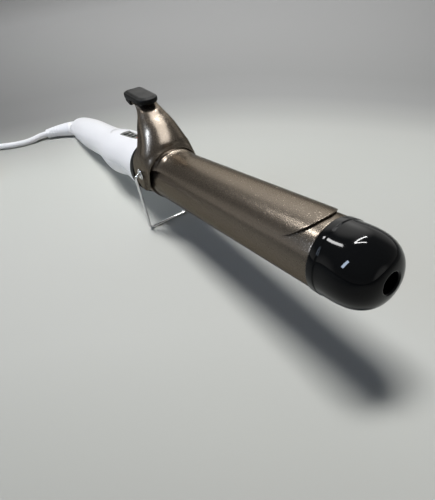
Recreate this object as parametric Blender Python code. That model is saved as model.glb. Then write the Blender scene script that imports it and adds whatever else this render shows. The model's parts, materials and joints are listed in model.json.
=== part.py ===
"""Curling wand: heated barrel, spring clip with lever, wire stand, moulded handle and swivelling cord.

The iron is drawn along its own axis: +X to the tip, +Z up, zero where the barrel meets the tip cap.
A parent empty then lays it on the table, tip raised, on its wire stand and the heel of its handle.
"""

import math

import bmesh
import bpy
from mathutils import Euler, Matrix, Vector

# General
GAP = 0.0003
OVERRUN = 0.004
MERGE = 0.000001
ROUND_STEPS = 36
SMALL_STEPS = 16
SHARP_ANGLE = math.radians(35)
FLAT_ANGLE = math.radians(0.02)

# Barrel, its holder and its heater
BARREL_RADIUS = 0.0160
BARREL_WALL = 0.0010
BARREL_LENGTH = 0.1670
BARREL_EDGE = 0.0004
CORE_BACK = 0.1250
CORE_LENGTH = 0.0700
CORE_WALL = 0.0014
PLATE_THICKNESS = 0.0022
PLATE_WIDTH = 0.0180
PLATE_LENGTH = 0.0600
HOLDER_THICKNESS = 0.0050
HOLDER_INSET = 0.0020
WIRE_RADIUS = 0.0009
WIRE_SPREAD = 0.0042
WIRE_DROP = 0.0045

# Tip cap, its insulating plug and its screw
CAP_BAND_RADIUS = 0.0165
CAP_BAND_LENGTH = 0.0036
CAP_WALL_RADIUS = 0.0162
CAP_STEP = 0.0003
CAP_STRAIGHT = 0.0065
CAP_LENGTH = 0.0256
CAP_DOME_POWER = 2.8
CAP_THICKNESS = 0.0022
CAP_SPIGOT = 0.0070
CAP_HOLE_RADIUS = 0.0043
CAP_HOLE_DEPTH = 0.0120
CAP_TUBE_WALL = 0.0016
CAP_FLOOR = 0.0022
CAP_HOLE_LIP = 0.0005
INSULATOR_THICKNESS = 0.0026
INSULATOR_BOSS_RADIUS = 0.0050
SCREW_RADIUS = 0.0013
SCREW_HEAD_RADIUS = 0.0026
SCREW_HEAD_HEIGHT = 0.0016
SCREW_GRIP = 0.0060

# Clip, pressed from one sheet, and its hinge
CLIP_SHEET = 0.0008
CLIP_RADIUS = 0.0168
CLIP_HALF_ANGLE = math.radians(53.8)
TONGUE_SETBACK = 0.0027
TONGUE_ROUND = 0.0130
TONGUE_POWER = 1.65
TONGUE_PLAIN = 0.0300
TONGUE_ROW_SHARES = (0.0, 0.12, 0.35, 0.65, 1.0)
PIVOT_FROM_END = 0.0180
PIVOT_RISE = 0.0045
EAR_RADIUS = 0.0118
EAR_WIDTH_SHARE = 1.05
ROOT_AHEAD = 0.0235
LEVER_REACH = 0.0340
LEVER_RISE = 0.0298
CLIP_COLUMNS = 10
# Each row: how far the crest has gone back and up, then its edge, seen from the pivot, in ear radii,
# then the half width and the depth of its bend, in clip radii.
EAR_ROW_SHARES = (
    (0.050, 0.023, 1.80, 0.46, 1.00, 1.03),
    (0.091, 0.044, 1.70, 0.46, 1.00, 1.06),
    (0.124, 0.040, 1.60, 0.45, 1.00, 1.05),
    (0.141, 0.044, 1.20, 0.38, 1.01, 1.02),
    (0.149, 0.057, 1.02, 0.23, 1.03, 0.99),
    (0.150, 0.070, 0.99, -0.08, 1.04, 0.94),
    (0.150, 0.084, 0.89, -0.45, 1.05, 0.90),
    (0.150, 0.097, 0.69, -0.73, 1.05, 0.87),
    (0.150, 0.111, 0.36, -0.93, 1.05, 0.85),
    (0.150, 0.124, -0.04, -1.00, 1.05, 0.84),
    (0.150, 0.138, -0.44, -0.90, 1.05, 0.84),
    (0.150, 0.151, -0.76, -0.65, 1.05, 0.83),
    (0.149, 0.164, -0.96, -0.27, 1.05, 0.83),
    (0.147, 0.181, -0.99, 0.14, 1.03, 0.83),
    (0.147, 0.201, -0.86, 0.55, 1.00, 0.82),
)
# Each row: crest back and up, then the edge seen from the crest, half width and depth, in clip radii.
LEVER_ROW_SHARES = (
    (0.149, 0.235, -1.515, -0.494, 0.950, 0.800),
    (0.174, 0.319, -1.143, -0.345, 0.875, 0.750),
    (0.218, 0.419, -0.982, -0.226, 0.790, 0.680),
    (0.282, 0.534, -0.845, -0.131, 0.700, 0.620),
    (0.368, 0.631, -0.679, -0.036, 0.610, 0.545),
    (0.456, 0.715, -0.524, 0.000, 0.530, 0.480),
    (0.529, 0.795, -0.423, 0.000, 0.470, 0.420),
    (0.624, 0.866, -0.315, 0.006, 0.430, 0.375),
    (0.703, 0.936, -0.244, 0.000, 0.466, 0.466),
    (0.785, 0.966, -0.137, 0.006, 0.660, 0.660),
    (0.882, 0.982, -0.060, 0.006, 1.460, 1.460),
    (1.000, 1.000, 0.000, -0.018, 4.170, 4.170),
)
BRACKET_RADIUS = 0.0168
BRACKET_SHEET = 0.0005
BRACKET_FRONT = 0.0080
BRACKET_BACK = 0.0125
BRACKET_BOSS_RADIUS = 0.0050
BRACKET_BOSS_PROUD = 0.0001
EYELET_RADIUS = 0.0022
EYELET_HEAD_RADIUS = 0.0036
EYELET_HEAD = 0.0007

# Clip spring and the pin that carries it
SPRING_WIRE_RADIUS = 0.00055
SPRING_COIL_RADIUS = 0.0031
SPRING_TURNS = 4
SPRING_POINTS = 9
SPRING_OUTER_SIDE = 0.0095
SPRING_INNER_SIDE = 0.0045
SPRING_BRIDGE_RISE = 0.0062
SPRING_BRIDGE_AHEAD = 0.0079
SPRING_LEG = 0.0095
SPRING_LEG_DROP = 0.0034
PIN_RADIUS = 0.0015
PIN_AHEAD_OF_PIVOT = 0.0070
PIN_RISE = 0.0171
PIN_HALF_LENGTH = 0.0136

# Thumb rest
REST_THICKNESS = 0.0030
REST_HALF_WIDTH = 0.0070
REST_AHEAD = 0.0134
REST_BEHIND = 0.0170
REST_EDGE = 0.0009
REST_CROWN = 0.0007
REST_RISE = 0.0005
REST_TILT = math.radians(8.0)
HEEL_LENGTH = 0.0080
HEEL_DEPTH = 0.0036
HEEL_SLANT = 0.0012
REST_SCREW_BEHIND = 0.0080

# Wire stand
STAND_WIRE_RADIUS = 0.0011
STAND_TOP_HALF = 0.0220
STAND_FOOT_HALF = 0.0168
STAND_EYE_BEND = 0.0024
STAND_FOOT_BEND = 0.0040
STAND_BACK = 0.0196
STAND_DROP = 0.0500
STAND_END_HALF = 0.0166

# Heat collar and handle
COLLAR_GAP = 0.0018
COLLAR_RADIUS = 0.0185
COLLAR_WIDTH = 0.0064
COLLAR_EDGE = 0.0007
COLLAR_SEAT = 0.0045
COLLAR_SLEEVE = 0.0120
COLLAR_SLEEVE_WALL = 0.0020
HANDLE_LENGTH = 0.1916
HANDLE_RADIUS = 0.0179
HANDLE_WALL = 0.0028
HANDLE_STATIONS = 23
HANDLE_SECTION_STEPS = 9
# Each row: how far back along the handle, radius at the top, radius at the bottom.
HANDLE_PROFILE_SHARES = (
    (0.00, 0.98, 0.98),
    (0.03, 1.00, 0.99),
    (0.08, 1.00, 0.93),
    (0.14, 0.99, 0.89),
    (0.19, 0.99, 0.91),
    (0.24, 1.00, 1.02),
    (0.29, 0.97, 1.07),
    (0.34, 0.91, 1.03),
    (0.39, 0.86, 0.94),
    (0.45, 0.83, 0.83),
    (0.52, 0.83, 0.78),
    (0.60, 0.84, 0.79),
    (0.70, 0.85, 0.78),
    (0.80, 0.81, 0.73),
    (0.90, 0.73, 0.65),
    (0.96, 0.63, 0.595),
    (1.00, 0.52, 0.52),
)
HEEL_STATION_SHARE = 0.955
HEEL_FLAT_DEPTH = 0.0004
BOSS_RADIUS = 0.0032
BOSS_SHARES = (0.44, 0.80)
SCREW_SINK = 0.0036

# Control panel, buttons and board
PANEL_FRONT = 0.0124
PANEL_FRONT_RADIUS = 0.0026
PANEL_REAR_RADIUS = 0.0054
INLAY_LENGTH = 0.0536
PANEL_LENGTH = 0.0304
PANEL_SINK = 0.0002
PANEL_THICKNESS = 0.0011
PANEL_ARC_STEPS = 8
BUTTON_PLACES = (0.0373, 0.0298, 0.0232)
BUTTON_RADII = (0.0030, 0.0022, 0.0020)
BUTTON_NAMES = ("power_button", "plus_button", "minus_button")
SWITCH_NAMES = ("power_switch", "plus_switch", "minus_switch")
BUTTON_PROUD = 0.0008
BUTTON_CAP = 0.0018
BUTTON_EDGE = 0.0004
BUTTON_TRAVEL = 0.0006
STEM_RADIUS = 0.0011
LENS_PLACE = 0.0174
LENS_RADIUS = 0.0009
BOARD_DROP = 0.0086
BOARD_THICKNESS = 0.0014
BOARD_HALF_WIDTH = 0.0085
BOARD_FRONT = 0.0145
BOARD_LENGTH = 0.0440
SWITCH_SIDE = 0.0060
SWITCH_HEIGHT = 0.0034
SWITCH_BORE_FLOOR = 0.0010

# Swivel, strain relief and cord
FLANGE_RADIUS = 0.0076
FLANGE_WIDTH = 0.0020
FLANGE_INSET = 0.0110
STEM_WALL_RADIUS = 0.0056
STEM_BORE_RADIUS = 0.0034
SWIVEL_RADIUS = 0.0083
SWIVEL_STUB_RADIUS = 0.0074
SWIVEL_STUB = 0.0098
SWIVEL_BEARING = math.radians(50)
SWIVEL_DIP = math.radians(5)
CONTACT_WIDTH = 0.0040
RELIEF_LENGTH = 0.0280
RELIEF_START_RADIUS = 0.0074
RELIEF_END_RADIUS = 0.0046
RELIEF_TURN = math.radians(28)
RELIEF_STEPS = 12
CORD_RADIUS = 0.0030
CORD_SPACING = 0.0070
# The cord's route over the table, in world metres, before its coil.
CORD_ROUTE = (
    (-0.2040, -0.0505, 0.0033),
    (-0.2054, -0.0620, 0.0031),
    (-0.2091, -0.0720, 0.0031),
    (-0.2139, -0.0816, 0.0031),
    (-0.2172, -0.0915, 0.0031),
    (-0.2186, -0.1020, 0.0031),
    (-0.2186, -0.1130, 0.0031),
    (-0.2180, -0.1240, 0.0033),
)
COIL_CENTRE = (-0.1700, -0.1460)
COIL_OUTER_RADIUS = 0.0475
COIL_INNER_RADIUS = 0.0248
COIL_LIFT = 0.0009
COIL_RISE = 0.0065
COIL_DIP = 0.0012
COIL_TURNS_IN = 3.5
COIL_TURNS_OUT = 3.25
LOOP_POINTS = 24
TAIL_LENGTH = 0.0540
TAIL_STEPS = 14
TAIL_TURN = math.radians(42)
TIE_WIDTH = 0.0080
TIE_THICKNESS = 0.0006
TIE_CORNER = 0.0030
PLUG_LENGTH = 0.0260
PLUG_HALF_WIDTH = 0.0120
PLUG_HALF_HEIGHT = 0.0066
PLUG_NECK = 0.0160
PLUG_NECK_RADIUS = 0.0048
BLADE_LENGTH = 0.0175
BLADE_WIDTH = 0.0063
BLADE_THICKNESS = 0.0015
BLADE_SPACING = 0.0127
BLADE_ROOT = 0.0040

# Places worked out from the sizes above
HANDLE_START = -(BARREL_LENGTH - COLLAR_SEAT + COLLAR_WIDTH + GAP)
COLLAR_FRONT = HANDLE_START + GAP + COLLAR_WIDTH
HANDLE_END = HANDLE_START - HANDLE_LENGTH
PIVOT = Vector((PIVOT_FROM_END - BARREL_LENGTH, 0.0, PIVOT_RISE))
PIN = PIVOT + Vector((PIN_AHEAD_OF_PIVOT, 0.0, PIN_RISE))
FOOT = PIVOT + Vector((-STAND_BACK, 0.0, -STAND_DROP))
BARREL_BORE = BARREL_RADIUS - BARREL_WALL


def material(name, colour, roughness, metallic):
    made = bpy.data.materials.new(name)
    made.use_nodes = True
    shader = made.node_tree.nodes["Principled BSDF"]
    shader.inputs["Base Color"].default_value = (*colour, 1.0)
    shader.inputs["Roughness"].default_value = roughness
    shader.inputs["Metallic"].default_value = metallic
    return made


def link(name, data, finish):
    data.materials.append(finish)
    made = bpy.data.objects.new(name, data)
    bpy.context.scene.collection.objects.link(made)
    return made


def mesh_object(name, bm, finish=None, split=True):
    """An object from a bmesh, with its faces turned out and its bent faces split into flat ones."""
    bmesh.ops.remove_doubles(bm, verts=bm.verts, dist=MERGE)
    bmesh.ops.recalc_face_normals(bm, faces=bm.faces)
    if split:
        bmesh.ops.connect_verts_nonplanar(bm, angle_limit=FLAT_ANGLE, faces=bm.faces)
    data = bpy.data.meshes.new(name)
    bm.to_mesh(data)
    bm.free()
    if finish:
        return link(name, data, finish)
    tool = bpy.data.objects.new(name, data)
    bpy.context.scene.collection.objects.link(tool)
    return tool


def smooth(target):
    target.data.shade_smooth()
    target.data.set_sharp_from_angle(angle=SHARP_ANGLE)


def evaluate(target):
    """Replaces an object's mesh by its evaluated one, so that its modifiers are spent."""
    graph = bpy.context.evaluated_depsgraph_get()
    data = bpy.data.meshes.new_from_object(target.evaluated_get(graph))
    target.modifiers.clear()
    target.data = data


def together(tools):
    """One object from several separate ones, so that they are cut or joined in a single step."""
    first = tools[0]
    bm = bmesh.new()
    for tool in tools:
        bm.from_mesh(tool.data)
    bm.to_mesh(first.data)
    bm.free()
    for tool in tools[1:]:
        bpy.data.objects.remove(tool)
    return first


def combine(target, tool, operation):
    """Cuts, joins or intersects the target with the tool, and removes the tool."""
    step = target.modifiers.new("step", "BOOLEAN")
    step.operation = operation
    step.object = tool
    evaluate(target)
    bpy.data.objects.remove(tool)


def revolve(outline, steps=ROUND_STEPS):
    """A body turned about X from a ring of (along, radius) points; lines on the axis itself are left out."""
    bm = bmesh.new()
    points = [bm.verts.new((along, 0.0, radius)) for along, radius in outline]
    pairs = zip(points, points[1:] + points[:1])
    edges = [bm.edges.new(pair) for pair in pairs if pair[0].co.z + pair[1].co.z > 0]
    bmesh.ops.spin(
        bm, geom=points + edges, cent=(0, 0, 0), axis=(1, 0, 0), angle=math.tau, steps=steps, use_merge=True
    )
    return bm


def turned(name, outline, finish=None, steps=ROUND_STEPS):
    return mesh_object(name, revolve(outline, steps), finish)


def turned_at(name, outline, start, direction, finish=None, steps=SMALL_STEPS):
    """A turned body whose axis starts at a point and runs along a direction."""
    bm = revolve(outline, steps)
    turn = Vector(direction).to_track_quat("X", "Z").to_matrix().to_4x4()
    bmesh.ops.transform(bm, matrix=Matrix.Translation(Vector(start)) @ turn, verts=bm.verts)
    return mesh_object(name, bm, finish)


def rod(name, start, end, radius, finish=None, steps=SMALL_STEPS):
    """A plain round rod between two points."""
    direction = Vector(end) - Vector(start)
    length = direction.length
    outline = ((0.0, 0.0), (0.0, radius), (length, radius), (length, 0.0))
    return turned_at(name, outline, start, direction, finish, steps)


def stepped_hole(start, first_radius, first_length, second_radius, second_length):
    """A cutter for a hole that changes its radius once, going up."""
    length = first_length + second_length
    outline = (
        (0.0, 0.0),
        (0.0, first_radius),
        (first_length, first_radius),
        (first_length, second_radius),
        (length, second_radius),
        (length, 0.0),
    )
    return turned_at("hole", outline, start, (0, 0, 1))


def screw(name, seat, direction, grip, finish):
    """A screw whose head stands on the seat and whose shank runs along the direction."""
    outline = (
        (-SCREW_HEAD_HEIGHT, 0.0),
        (-SCREW_HEAD_HEIGHT, SCREW_HEAD_RADIUS),
        (0.0, SCREW_HEAD_RADIUS),
        (0.0, SCREW_RADIUS),
        (grip, SCREW_RADIUS),
        (grip, 0.0),
    )
    return turned_at(name, outline, seat, direction, finish)


def loft(rings):
    """A body through closed rings of equal length, with a flat cap on each end."""
    bm = bmesh.new()
    made = [[bm.verts.new(point) for point in ring] for ring in rings]
    count = len(made[0])
    for first, second in zip(made, made[1:]):
        for index in range(count):
            after = (index + 1) % count
            bm.faces.new((first[index], first[after], second[after], second[index]))
    bm.faces.new(made[0])
    bm.faces.new(made[-1])
    return bm


def prism(name, outline, low, high, finish=None):
    """An upright body over a plan outline."""
    rings = [[(x, y, level) for x, y in outline] for level in (low, high)]
    return mesh_object(name, loft(rings), finish)


def block(name, low, high, finish=None):
    corners = ((low[0], low[1]), (high[0], low[1]), (high[0], high[1]), (low[0], high[1]))
    return prism(name, corners, low[2], high[2], finish)


def arc(centre, radius, start, end, steps):
    """Points on an arc, from one angle to another."""
    turns = [start + (end - start) * step / steps for step in range(steps + 1)]
    return [(centre[0] + radius * math.cos(turn), centre[1] + radius * math.sin(turn)) for turn in turns]


def rounded_path(corners, radii, steps):
    """A route through corner points with each inner corner rounded off by its own radius."""
    corners = [Vector(corner) for corner in corners]
    points = [corners[0]]
    for before, corner, after, radius in zip(corners, corners[1:], corners[2:], radii):
        back, ahead = (before - corner).normalized(), (after - corner).normalized()
        half = back.angle(ahead) / 2
        cut = radius / math.tan(half)
        middle = corner + (back + ahead).normalized() * (radius / math.sin(half))
        first, last = corner + back * cut - middle, corner + ahead * cut - middle
        points += [middle + first.slerp(last, step / steps).normalized() * radius for step in range(steps + 1)]
    return points + [corners[-1]]


def curve_through(points, spacing):
    """Points at an even spacing on a smooth curve through the given ones."""
    points = [Vector(point) for point in points]
    padded = [points[0] * 2 - points[1]] + points + [points[-1] * 2 - points[-2]]
    fine = []
    for a, b, c, d in zip(padded, padded[1:], padded[2:], padded[3:]):
        for step in range(20):
            t = step / 20
            fine.append((2 * b + (c - a) * t + (2 * a - 5 * b + 4 * c - d) * t**2 + (3 * b - a - 3 * c + d) * t**3) / 2)
    fine.append(points[-1])
    lengths = [0.0]
    for before, after in zip(fine, fine[1:]):
        lengths.append(lengths[-1] + (after - before).length)
    count = max(2, round(lengths[-1] / spacing))
    even, index = [], 0
    for step in range(count + 1):
        wanted = lengths[-1] * step / count
        while index < len(lengths) - 2 and lengths[index + 1] < wanted:
            index += 1
        share = (wanted - lengths[index]) / (lengths[index + 1] - lengths[index])
        even.append(fine[index].lerp(fine[index + 1], share))
    return even


def tube(name, points, radius, finish, resolution, radii=None):
    """A round tube along points, with flat ends."""
    data = bpy.data.curves.new(name, "CURVE")
    data.dimensions = "3D"
    data.bevel_depth = radius
    data.bevel_resolution = resolution
    data.use_fill_caps = True
    line = data.splines.new("POLY")
    line.points.add(len(points) - 1)
    for place, point in zip(line.points, points):
        place.co = (*point, 1.0)
    for place, share in zip(line.points, radii or []):
        place.radius = share
    line.use_smooth = True
    return link(name, data, finish)


def seat(target, parent, origin=(0.0, 0.0, 0.0)):
    """Parents an object and puts its own origin at a point, such as a point on its hinge's axis."""
    origin = Vector(origin)
    if target.type == "MESH":
        smooth(target)
    target.data.transform(Matrix.Translation(-origin))
    target.parent = parent
    target.location = origin
    return target


def half_round(radius, flat):
    """Half of a round section, cut off at a height above the middle."""
    start = math.asin(flat / radius)
    return arc((0.0, 0.0), radius, start, math.pi - start, ROUND_STEPS // 2)


def barrel(parent, steel, metal, ceramic, copper):
    """The heated tube with its core halves, heating plate, rear holder and two leads."""
    edge = BARREL_EDGE
    outline = (
        (-BARREL_LENGTH, BARREL_BORE),
        (-BARREL_LENGTH, BARREL_RADIUS),
        (-edge, BARREL_RADIUS),
        (0.0, BARREL_RADIUS - edge),
        (0.0, BARREL_BORE),
    )
    seat(turned("barrel_tube", outline, steel), parent)
    core_radius = BARREL_BORE - GAP
    flat = PLATE_THICKNESS / 2 + GAP
    for name, side in (("core_upper", 1), ("core_lower", -1)):
        outer = half_round(core_radius, flat)
        inner = half_round(core_radius - CORE_WALL, flat + CORE_WALL)
        solids = []
        for outline, overrun in ((outer, 0.0), (inner, OVERRUN)):
            ends = (-CORE_BACK - overrun, CORE_LENGTH - CORE_BACK + overrun)
            rings = [[(along, y, side * z) for y, z in outline] for along in ends]
            solids.append(loft(rings))
        core = mesh_object(name, solids[0], metal)
        combine(core, mesh_object("hollow", solids[1]), "DIFFERENCE")
        seat(core, parent)
    middle = -CORE_BACK + CORE_LENGTH / 2
    low = (middle - PLATE_LENGTH / 2, -PLATE_WIDTH / 2, -PLATE_THICKNESS / 2)
    seat(block("heating_plate", low, [2 * middle - low[0], -low[1], -low[2]], ceramic), parent)
    front = -BARREL_LENGTH + HOLDER_INSET + HOLDER_THICKNESS
    holder = rod("rear_holder", (front - HOLDER_THICKNESS, 0, 0), (front, 0, 0), core_radius, ceramic, ROUND_STEPS)
    near, far = front + OVERRUN, front - HOLDER_THICKNESS - OVERRUN
    holes = [
        rod("hole", (near, side * WIRE_SPREAD, 0), (far, side * WIRE_SPREAD, 0), WIRE_RADIUS + GAP)
        for side in (-1, 1)
    ]
    combine(holder, together(holes), "DIFFERENCE")
    seat(holder, parent)
    board_front = HANDLE_START - BOARD_FRONT
    for name, side in (("lead_live", -1), ("lead_neutral", 1)):
        y = side * WIRE_SPREAD
        rise = HANDLE_RADIUS - BOARD_DROP - BOARD_THICKNESS - GAP - WIRE_RADIUS
        corners = (
            (-CORE_BACK - GAP, y, 0.0),
            (-BARREL_LENGTH - COLLAR_WIDTH, y, 0.0),
            (board_front - WIRE_DROP, y, rise),
            (board_front - WIRE_DROP * 2, y, rise),
        )
        seat(tube(name, rounded_path(corners, (WIRE_DROP, WIRE_DROP), 4), WIRE_RADIUS, copper, 1), parent)


def dome_radius(share, radius):
    return radius * (1 - share**CAP_DOME_POWER) ** (1 / CAP_DOME_POWER)


def tip(parent, black, ceramic, steel):
    """The domed end cap with its screw hole, the insulating plug behind it and the screw."""
    dome = CAP_LENGTH - CAP_STRAIGHT
    hole_share = (1 - (CAP_HOLE_RADIUS + CAP_HOLE_LIP) ** CAP_DOME_POWER / CAP_WALL_RADIUS**CAP_DOME_POWER) ** (
        1 / CAP_DOME_POWER
    )
    shares = [hole_share * math.sin(step / 7 * math.pi / 2) for step in range(8)]
    outer = [(CAP_STRAIGHT + dome * share, dome_radius(share, CAP_WALL_RADIUS)) for share in shares]
    mouth = outer[-1][0]
    floor = mouth - CAP_HOLE_DEPTH
    tube_radius = CAP_HOLE_RADIUS + CAP_TUBE_WALL
    inner_radius, inner_dome = CAP_WALL_RADIUS - CAP_THICKNESS, dome - CAP_THICKNESS
    tube_share = (1 - (tube_radius / inner_radius) ** CAP_DOME_POWER) ** (1 / CAP_DOME_POWER)
    inner_shares = [tube_share * math.cos(step / 4 * math.pi / 2) for step in range(5)]
    inner = [(CAP_STRAIGHT + inner_dome * share, dome_radius(share, inner_radius)) for share in inner_shares]
    spigot = BARREL_BORE - GAP
    outline = [
        (-CAP_SPIGOT, spigot - CAP_THICKNESS),
        (-CAP_SPIGOT, spigot),
        (GAP, spigot),
        (GAP, CAP_BAND_RADIUS),
        (CAP_BAND_LENGTH, CAP_BAND_RADIUS),
        (CAP_BAND_LENGTH + CAP_STEP, CAP_WALL_RADIUS),
        *outer,
        (mouth - CAP_HOLE_LIP, CAP_HOLE_RADIUS),
        (floor, CAP_HOLE_RADIUS),
        (floor, SCREW_RADIUS + GAP),
        (floor - CAP_FLOOR, SCREW_RADIUS + GAP),
        (floor - CAP_FLOOR, tube_radius),
        *inner,
        (GAP, spigot - CAP_THICKNESS),
    ]
    seat(turned("tip_cap", outline, black), parent)
    back = -CAP_SPIGOT - GAP
    boss_end = floor - CAP_FLOOR - GAP
    bore_end = floor - SCREW_GRIP - GAP
    plug = [
        (back - INSULATOR_THICKNESS, 0.0),
        (back - INSULATOR_THICKNESS, spigot),
        (back, spigot),
        (back, INSULATOR_BOSS_RADIUS),
        (boss_end, INSULATOR_BOSS_RADIUS),
        (boss_end, SCREW_RADIUS + GAP),
        (bore_end, SCREW_RADIUS + GAP),
        (bore_end, 0.0),
    ]
    seat(turned("tip_insulator", plug, ceramic), parent)
    seat(screw("tip_screw", (floor + GAP, 0, 0), (-1, 0, 0), SCREW_GRIP, steel), parent)


def clip_row(crest, edge, width, depth, columns):
    """One bend line of the sheet, from its near edge over the crest to its far edge.

    It is a quarter of an ellipse each way, cut short or run on straight so that it ends at the edge point.
    """
    drop = edge - crest
    reach = drop.length
    turn = drop.normalized()
    bend = math.acos(max(1 - reach / depth, 0.0))
    skirt = max(reach - depth, 0.0)
    arc_length = (width + depth) / 2 * bend
    row = []
    for share in columns:
        run = abs(share) * (arc_length + skirt)
        angle = bend * min(run / arc_length, 1.0)
        down = depth * (1 - math.cos(angle)) + max(run - arc_length, 0.0)
        place = crest + turn * down
        row.append(Vector((place.x, math.copysign(width * math.sin(angle), share), place.z)))
    return row


def clip(parent, finish):
    """The clip as one pressed sheet: tongue, ears and lever are rows of the same blank."""
    steps = [step / CLIP_COLUMNS for step in range(-CLIP_COLUMNS, CLIP_COLUMNS + 1)]
    columns = [(step + math.sin(step * math.pi / 2)) / 2 for step in steps]
    edge_height = CLIP_RADIUS * math.cos(CLIP_HALF_ANGLE)

    def tongue_row(along):
        return clip_row(
            Vector((along, 0, CLIP_RADIUS)), Vector((along, 0, edge_height)), CLIP_RADIUS, CLIP_RADIUS, columns
        )

    rows = []
    for share in TONGUE_ROW_SHARES:
        row = tongue_row(0.0)
        for point, column in zip(row, columns):
            rounding = 1 - (1 - abs(column) ** TONGUE_POWER) ** (1 / TONGUE_POWER)
            front = -TONGUE_SETBACK - TONGUE_ROUND * rounding
            point.x = front + (-TONGUE_PLAIN - front) * share
        rows.append(row)
    root = Vector((PIVOT.x + ROOT_AHEAD, 0, CLIP_RADIUS))
    rows.append(tongue_row(root.x))
    for back, up, edge_x, edge_z, width, depth in EAR_ROW_SHARES:
        crest = root + Vector((-back * LEVER_REACH, 0, up * LEVER_RISE))
        edge = PIVOT + Vector((edge_x, 0, edge_z)) * EAR_RADIUS
        rows.append(clip_row(crest, edge, width * CLIP_RADIUS, depth * CLIP_RADIUS, columns))
    for back, up, edge_x, edge_z, width, depth in LEVER_ROW_SHARES:
        crest = root + Vector((-back * LEVER_REACH, 0, up * LEVER_RISE))
        edge = crest + Vector((edge_x, 0, edge_z)) * CLIP_RADIUS
        rows.append(clip_row(crest, edge, width * CLIP_RADIUS, depth * CLIP_RADIUS, columns))
    bm = bmesh.new()
    grid = [[bm.verts.new(point) for point in row] for row in rows]
    for first, second in zip(grid, grid[1:]):
        for index in range(len(columns) - 1):
            bm.faces.new((first[index], first[index + 1], second[index + 1], second[index]))
    made = mesh_object("clip", bm, finish, split=False)
    sheet = made.modifiers.new("sheet", "SOLIDIFY")
    sheet.thickness = CLIP_SHEET
    sheet.offset = 0.0
    sheet.use_even_offset = True
    evaluate(made)
    reach = Vector((0, STAND_TOP_HALF, 0))
    combine(made, rod("hole", PIVOT - reach, PIVOT + reach, EYELET_RADIUS + GAP), "DIFFERENCE")
    hole = Vector((rest_screw_place(), 0, lever_end()[1]))
    rise = Vector((0, 0, OVERRUN))
    drill = rod("hole", hole - rise, hole + rise, SCREW_RADIUS + GAP)
    drill.data.transform(rest_tilt())
    combine(made, drill, "DIFFERENCE")
    return seat(made, parent, PIVOT)


def lever_end():
    """Where the middle of the lever's bent-over tab ends."""
    return PIVOT.x + ROOT_AHEAD - LEVER_REACH, CLIP_RADIUS + LEVER_RISE


def rest_screw_place():
    return lever_end()[0] + SCREW_HEAD_RADIUS + GAP


def rest_tilt():
    """Turns what is drawn level onto the lever's sloping tab."""
    end_x, tab_z = lever_end()
    pin = Vector((end_x, 0, tab_z))
    return Matrix.Translation(pin) @ Matrix.Rotation(REST_TILT, 4, "Y") @ Matrix.Translation(-pin)


def thumb_rest(parent, black, steel):
    """The moulded thumb rest: a crowned oval plate with a heel behind the lever, and its screw."""
    end_x, tab_z = lever_end()
    low = tab_z + CLIP_SHEET / 2 + GAP
    centre = end_x + SCREW_HEAD_RADIUS
    front, rear = centre + REST_AHEAD, centre - REST_BEHIND + SCREW_HEAD_RADIUS
    corner = REST_HALF_WIDTH / 2

    def outline(inset):
        half = REST_HALF_WIDTH - inset
        nose = arc((front - REST_HALF_WIDTH, 0.0), half, -math.pi / 2, math.pi / 2, 14)
        tail_centre = rear + corner
        left = arc((tail_centre, REST_HALF_WIDTH - corner), corner - inset, math.pi / 2, math.pi, 4)
        right = arc((tail_centre, corner - REST_HALF_WIDTH), corner - inset, math.pi, math.pi * 3 / 2, 4)
        return nose + left + right

    levels = (
        (0.0, REST_EDGE / 2),
        (REST_EDGE / 2, 0.0),
        (REST_THICKNESS - REST_EDGE, 0.0),
        (REST_THICKNESS - REST_EDGE / 3, REST_EDGE / 2),
        (REST_THICKNESS, REST_EDGE * 2),
        (REST_THICKNESS + REST_CROWN, REST_HALF_WIDTH - REST_EDGE),
    )
    rings = []
    for level, inset in levels:
        slope = REST_RISE / (front - rear) * level / REST_THICKNESS
        rings.append([(x, y, low + level + (front - x) * slope) for x, y in outline(inset)])
    made = mesh_object("thumb_rest", loft(rings), black)
    half = REST_HALF_WIDTH - REST_EDGE
    side = (
        (rear + REST_EDGE, low + REST_THICKNESS / 2),
        (rear + HEEL_LENGTH, low + REST_THICKNESS / 2),
        (rear + HEEL_LENGTH, low - HEEL_DEPTH),
        (rear + HEEL_LENGTH - REST_EDGE, low - HEEL_DEPTH - REST_EDGE / 2),
        (rear + REST_EDGE * 2, low - HEEL_DEPTH + HEEL_SLANT),
        (rear + REST_EDGE, low - HEEL_DEPTH + HEEL_SLANT + REST_EDGE),
    )
    heel = mesh_object("heel", loft([[(x, y, z) for x, z in side] for y in (-half, half)]))
    combine(made, heel, "UNION")
    grip = CLIP_SHEET + REST_THICKNESS
    head_seat = Vector((rest_screw_place(), 0, tab_z - CLIP_SHEET / 2 - GAP))
    top = head_seat + Vector((0, 0, grip + GAP))
    combine(made, rod("bore", head_seat, top, SCREW_RADIUS + GAP), "DIFFERENCE")
    fixing = screw("thumb_rest_screw", head_seat, (0, 0, 1), grip, steel)
    for piece in (made, fixing):
        piece.data.transform(rest_tilt())
        seat(piece, parent, PIVOT)


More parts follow.
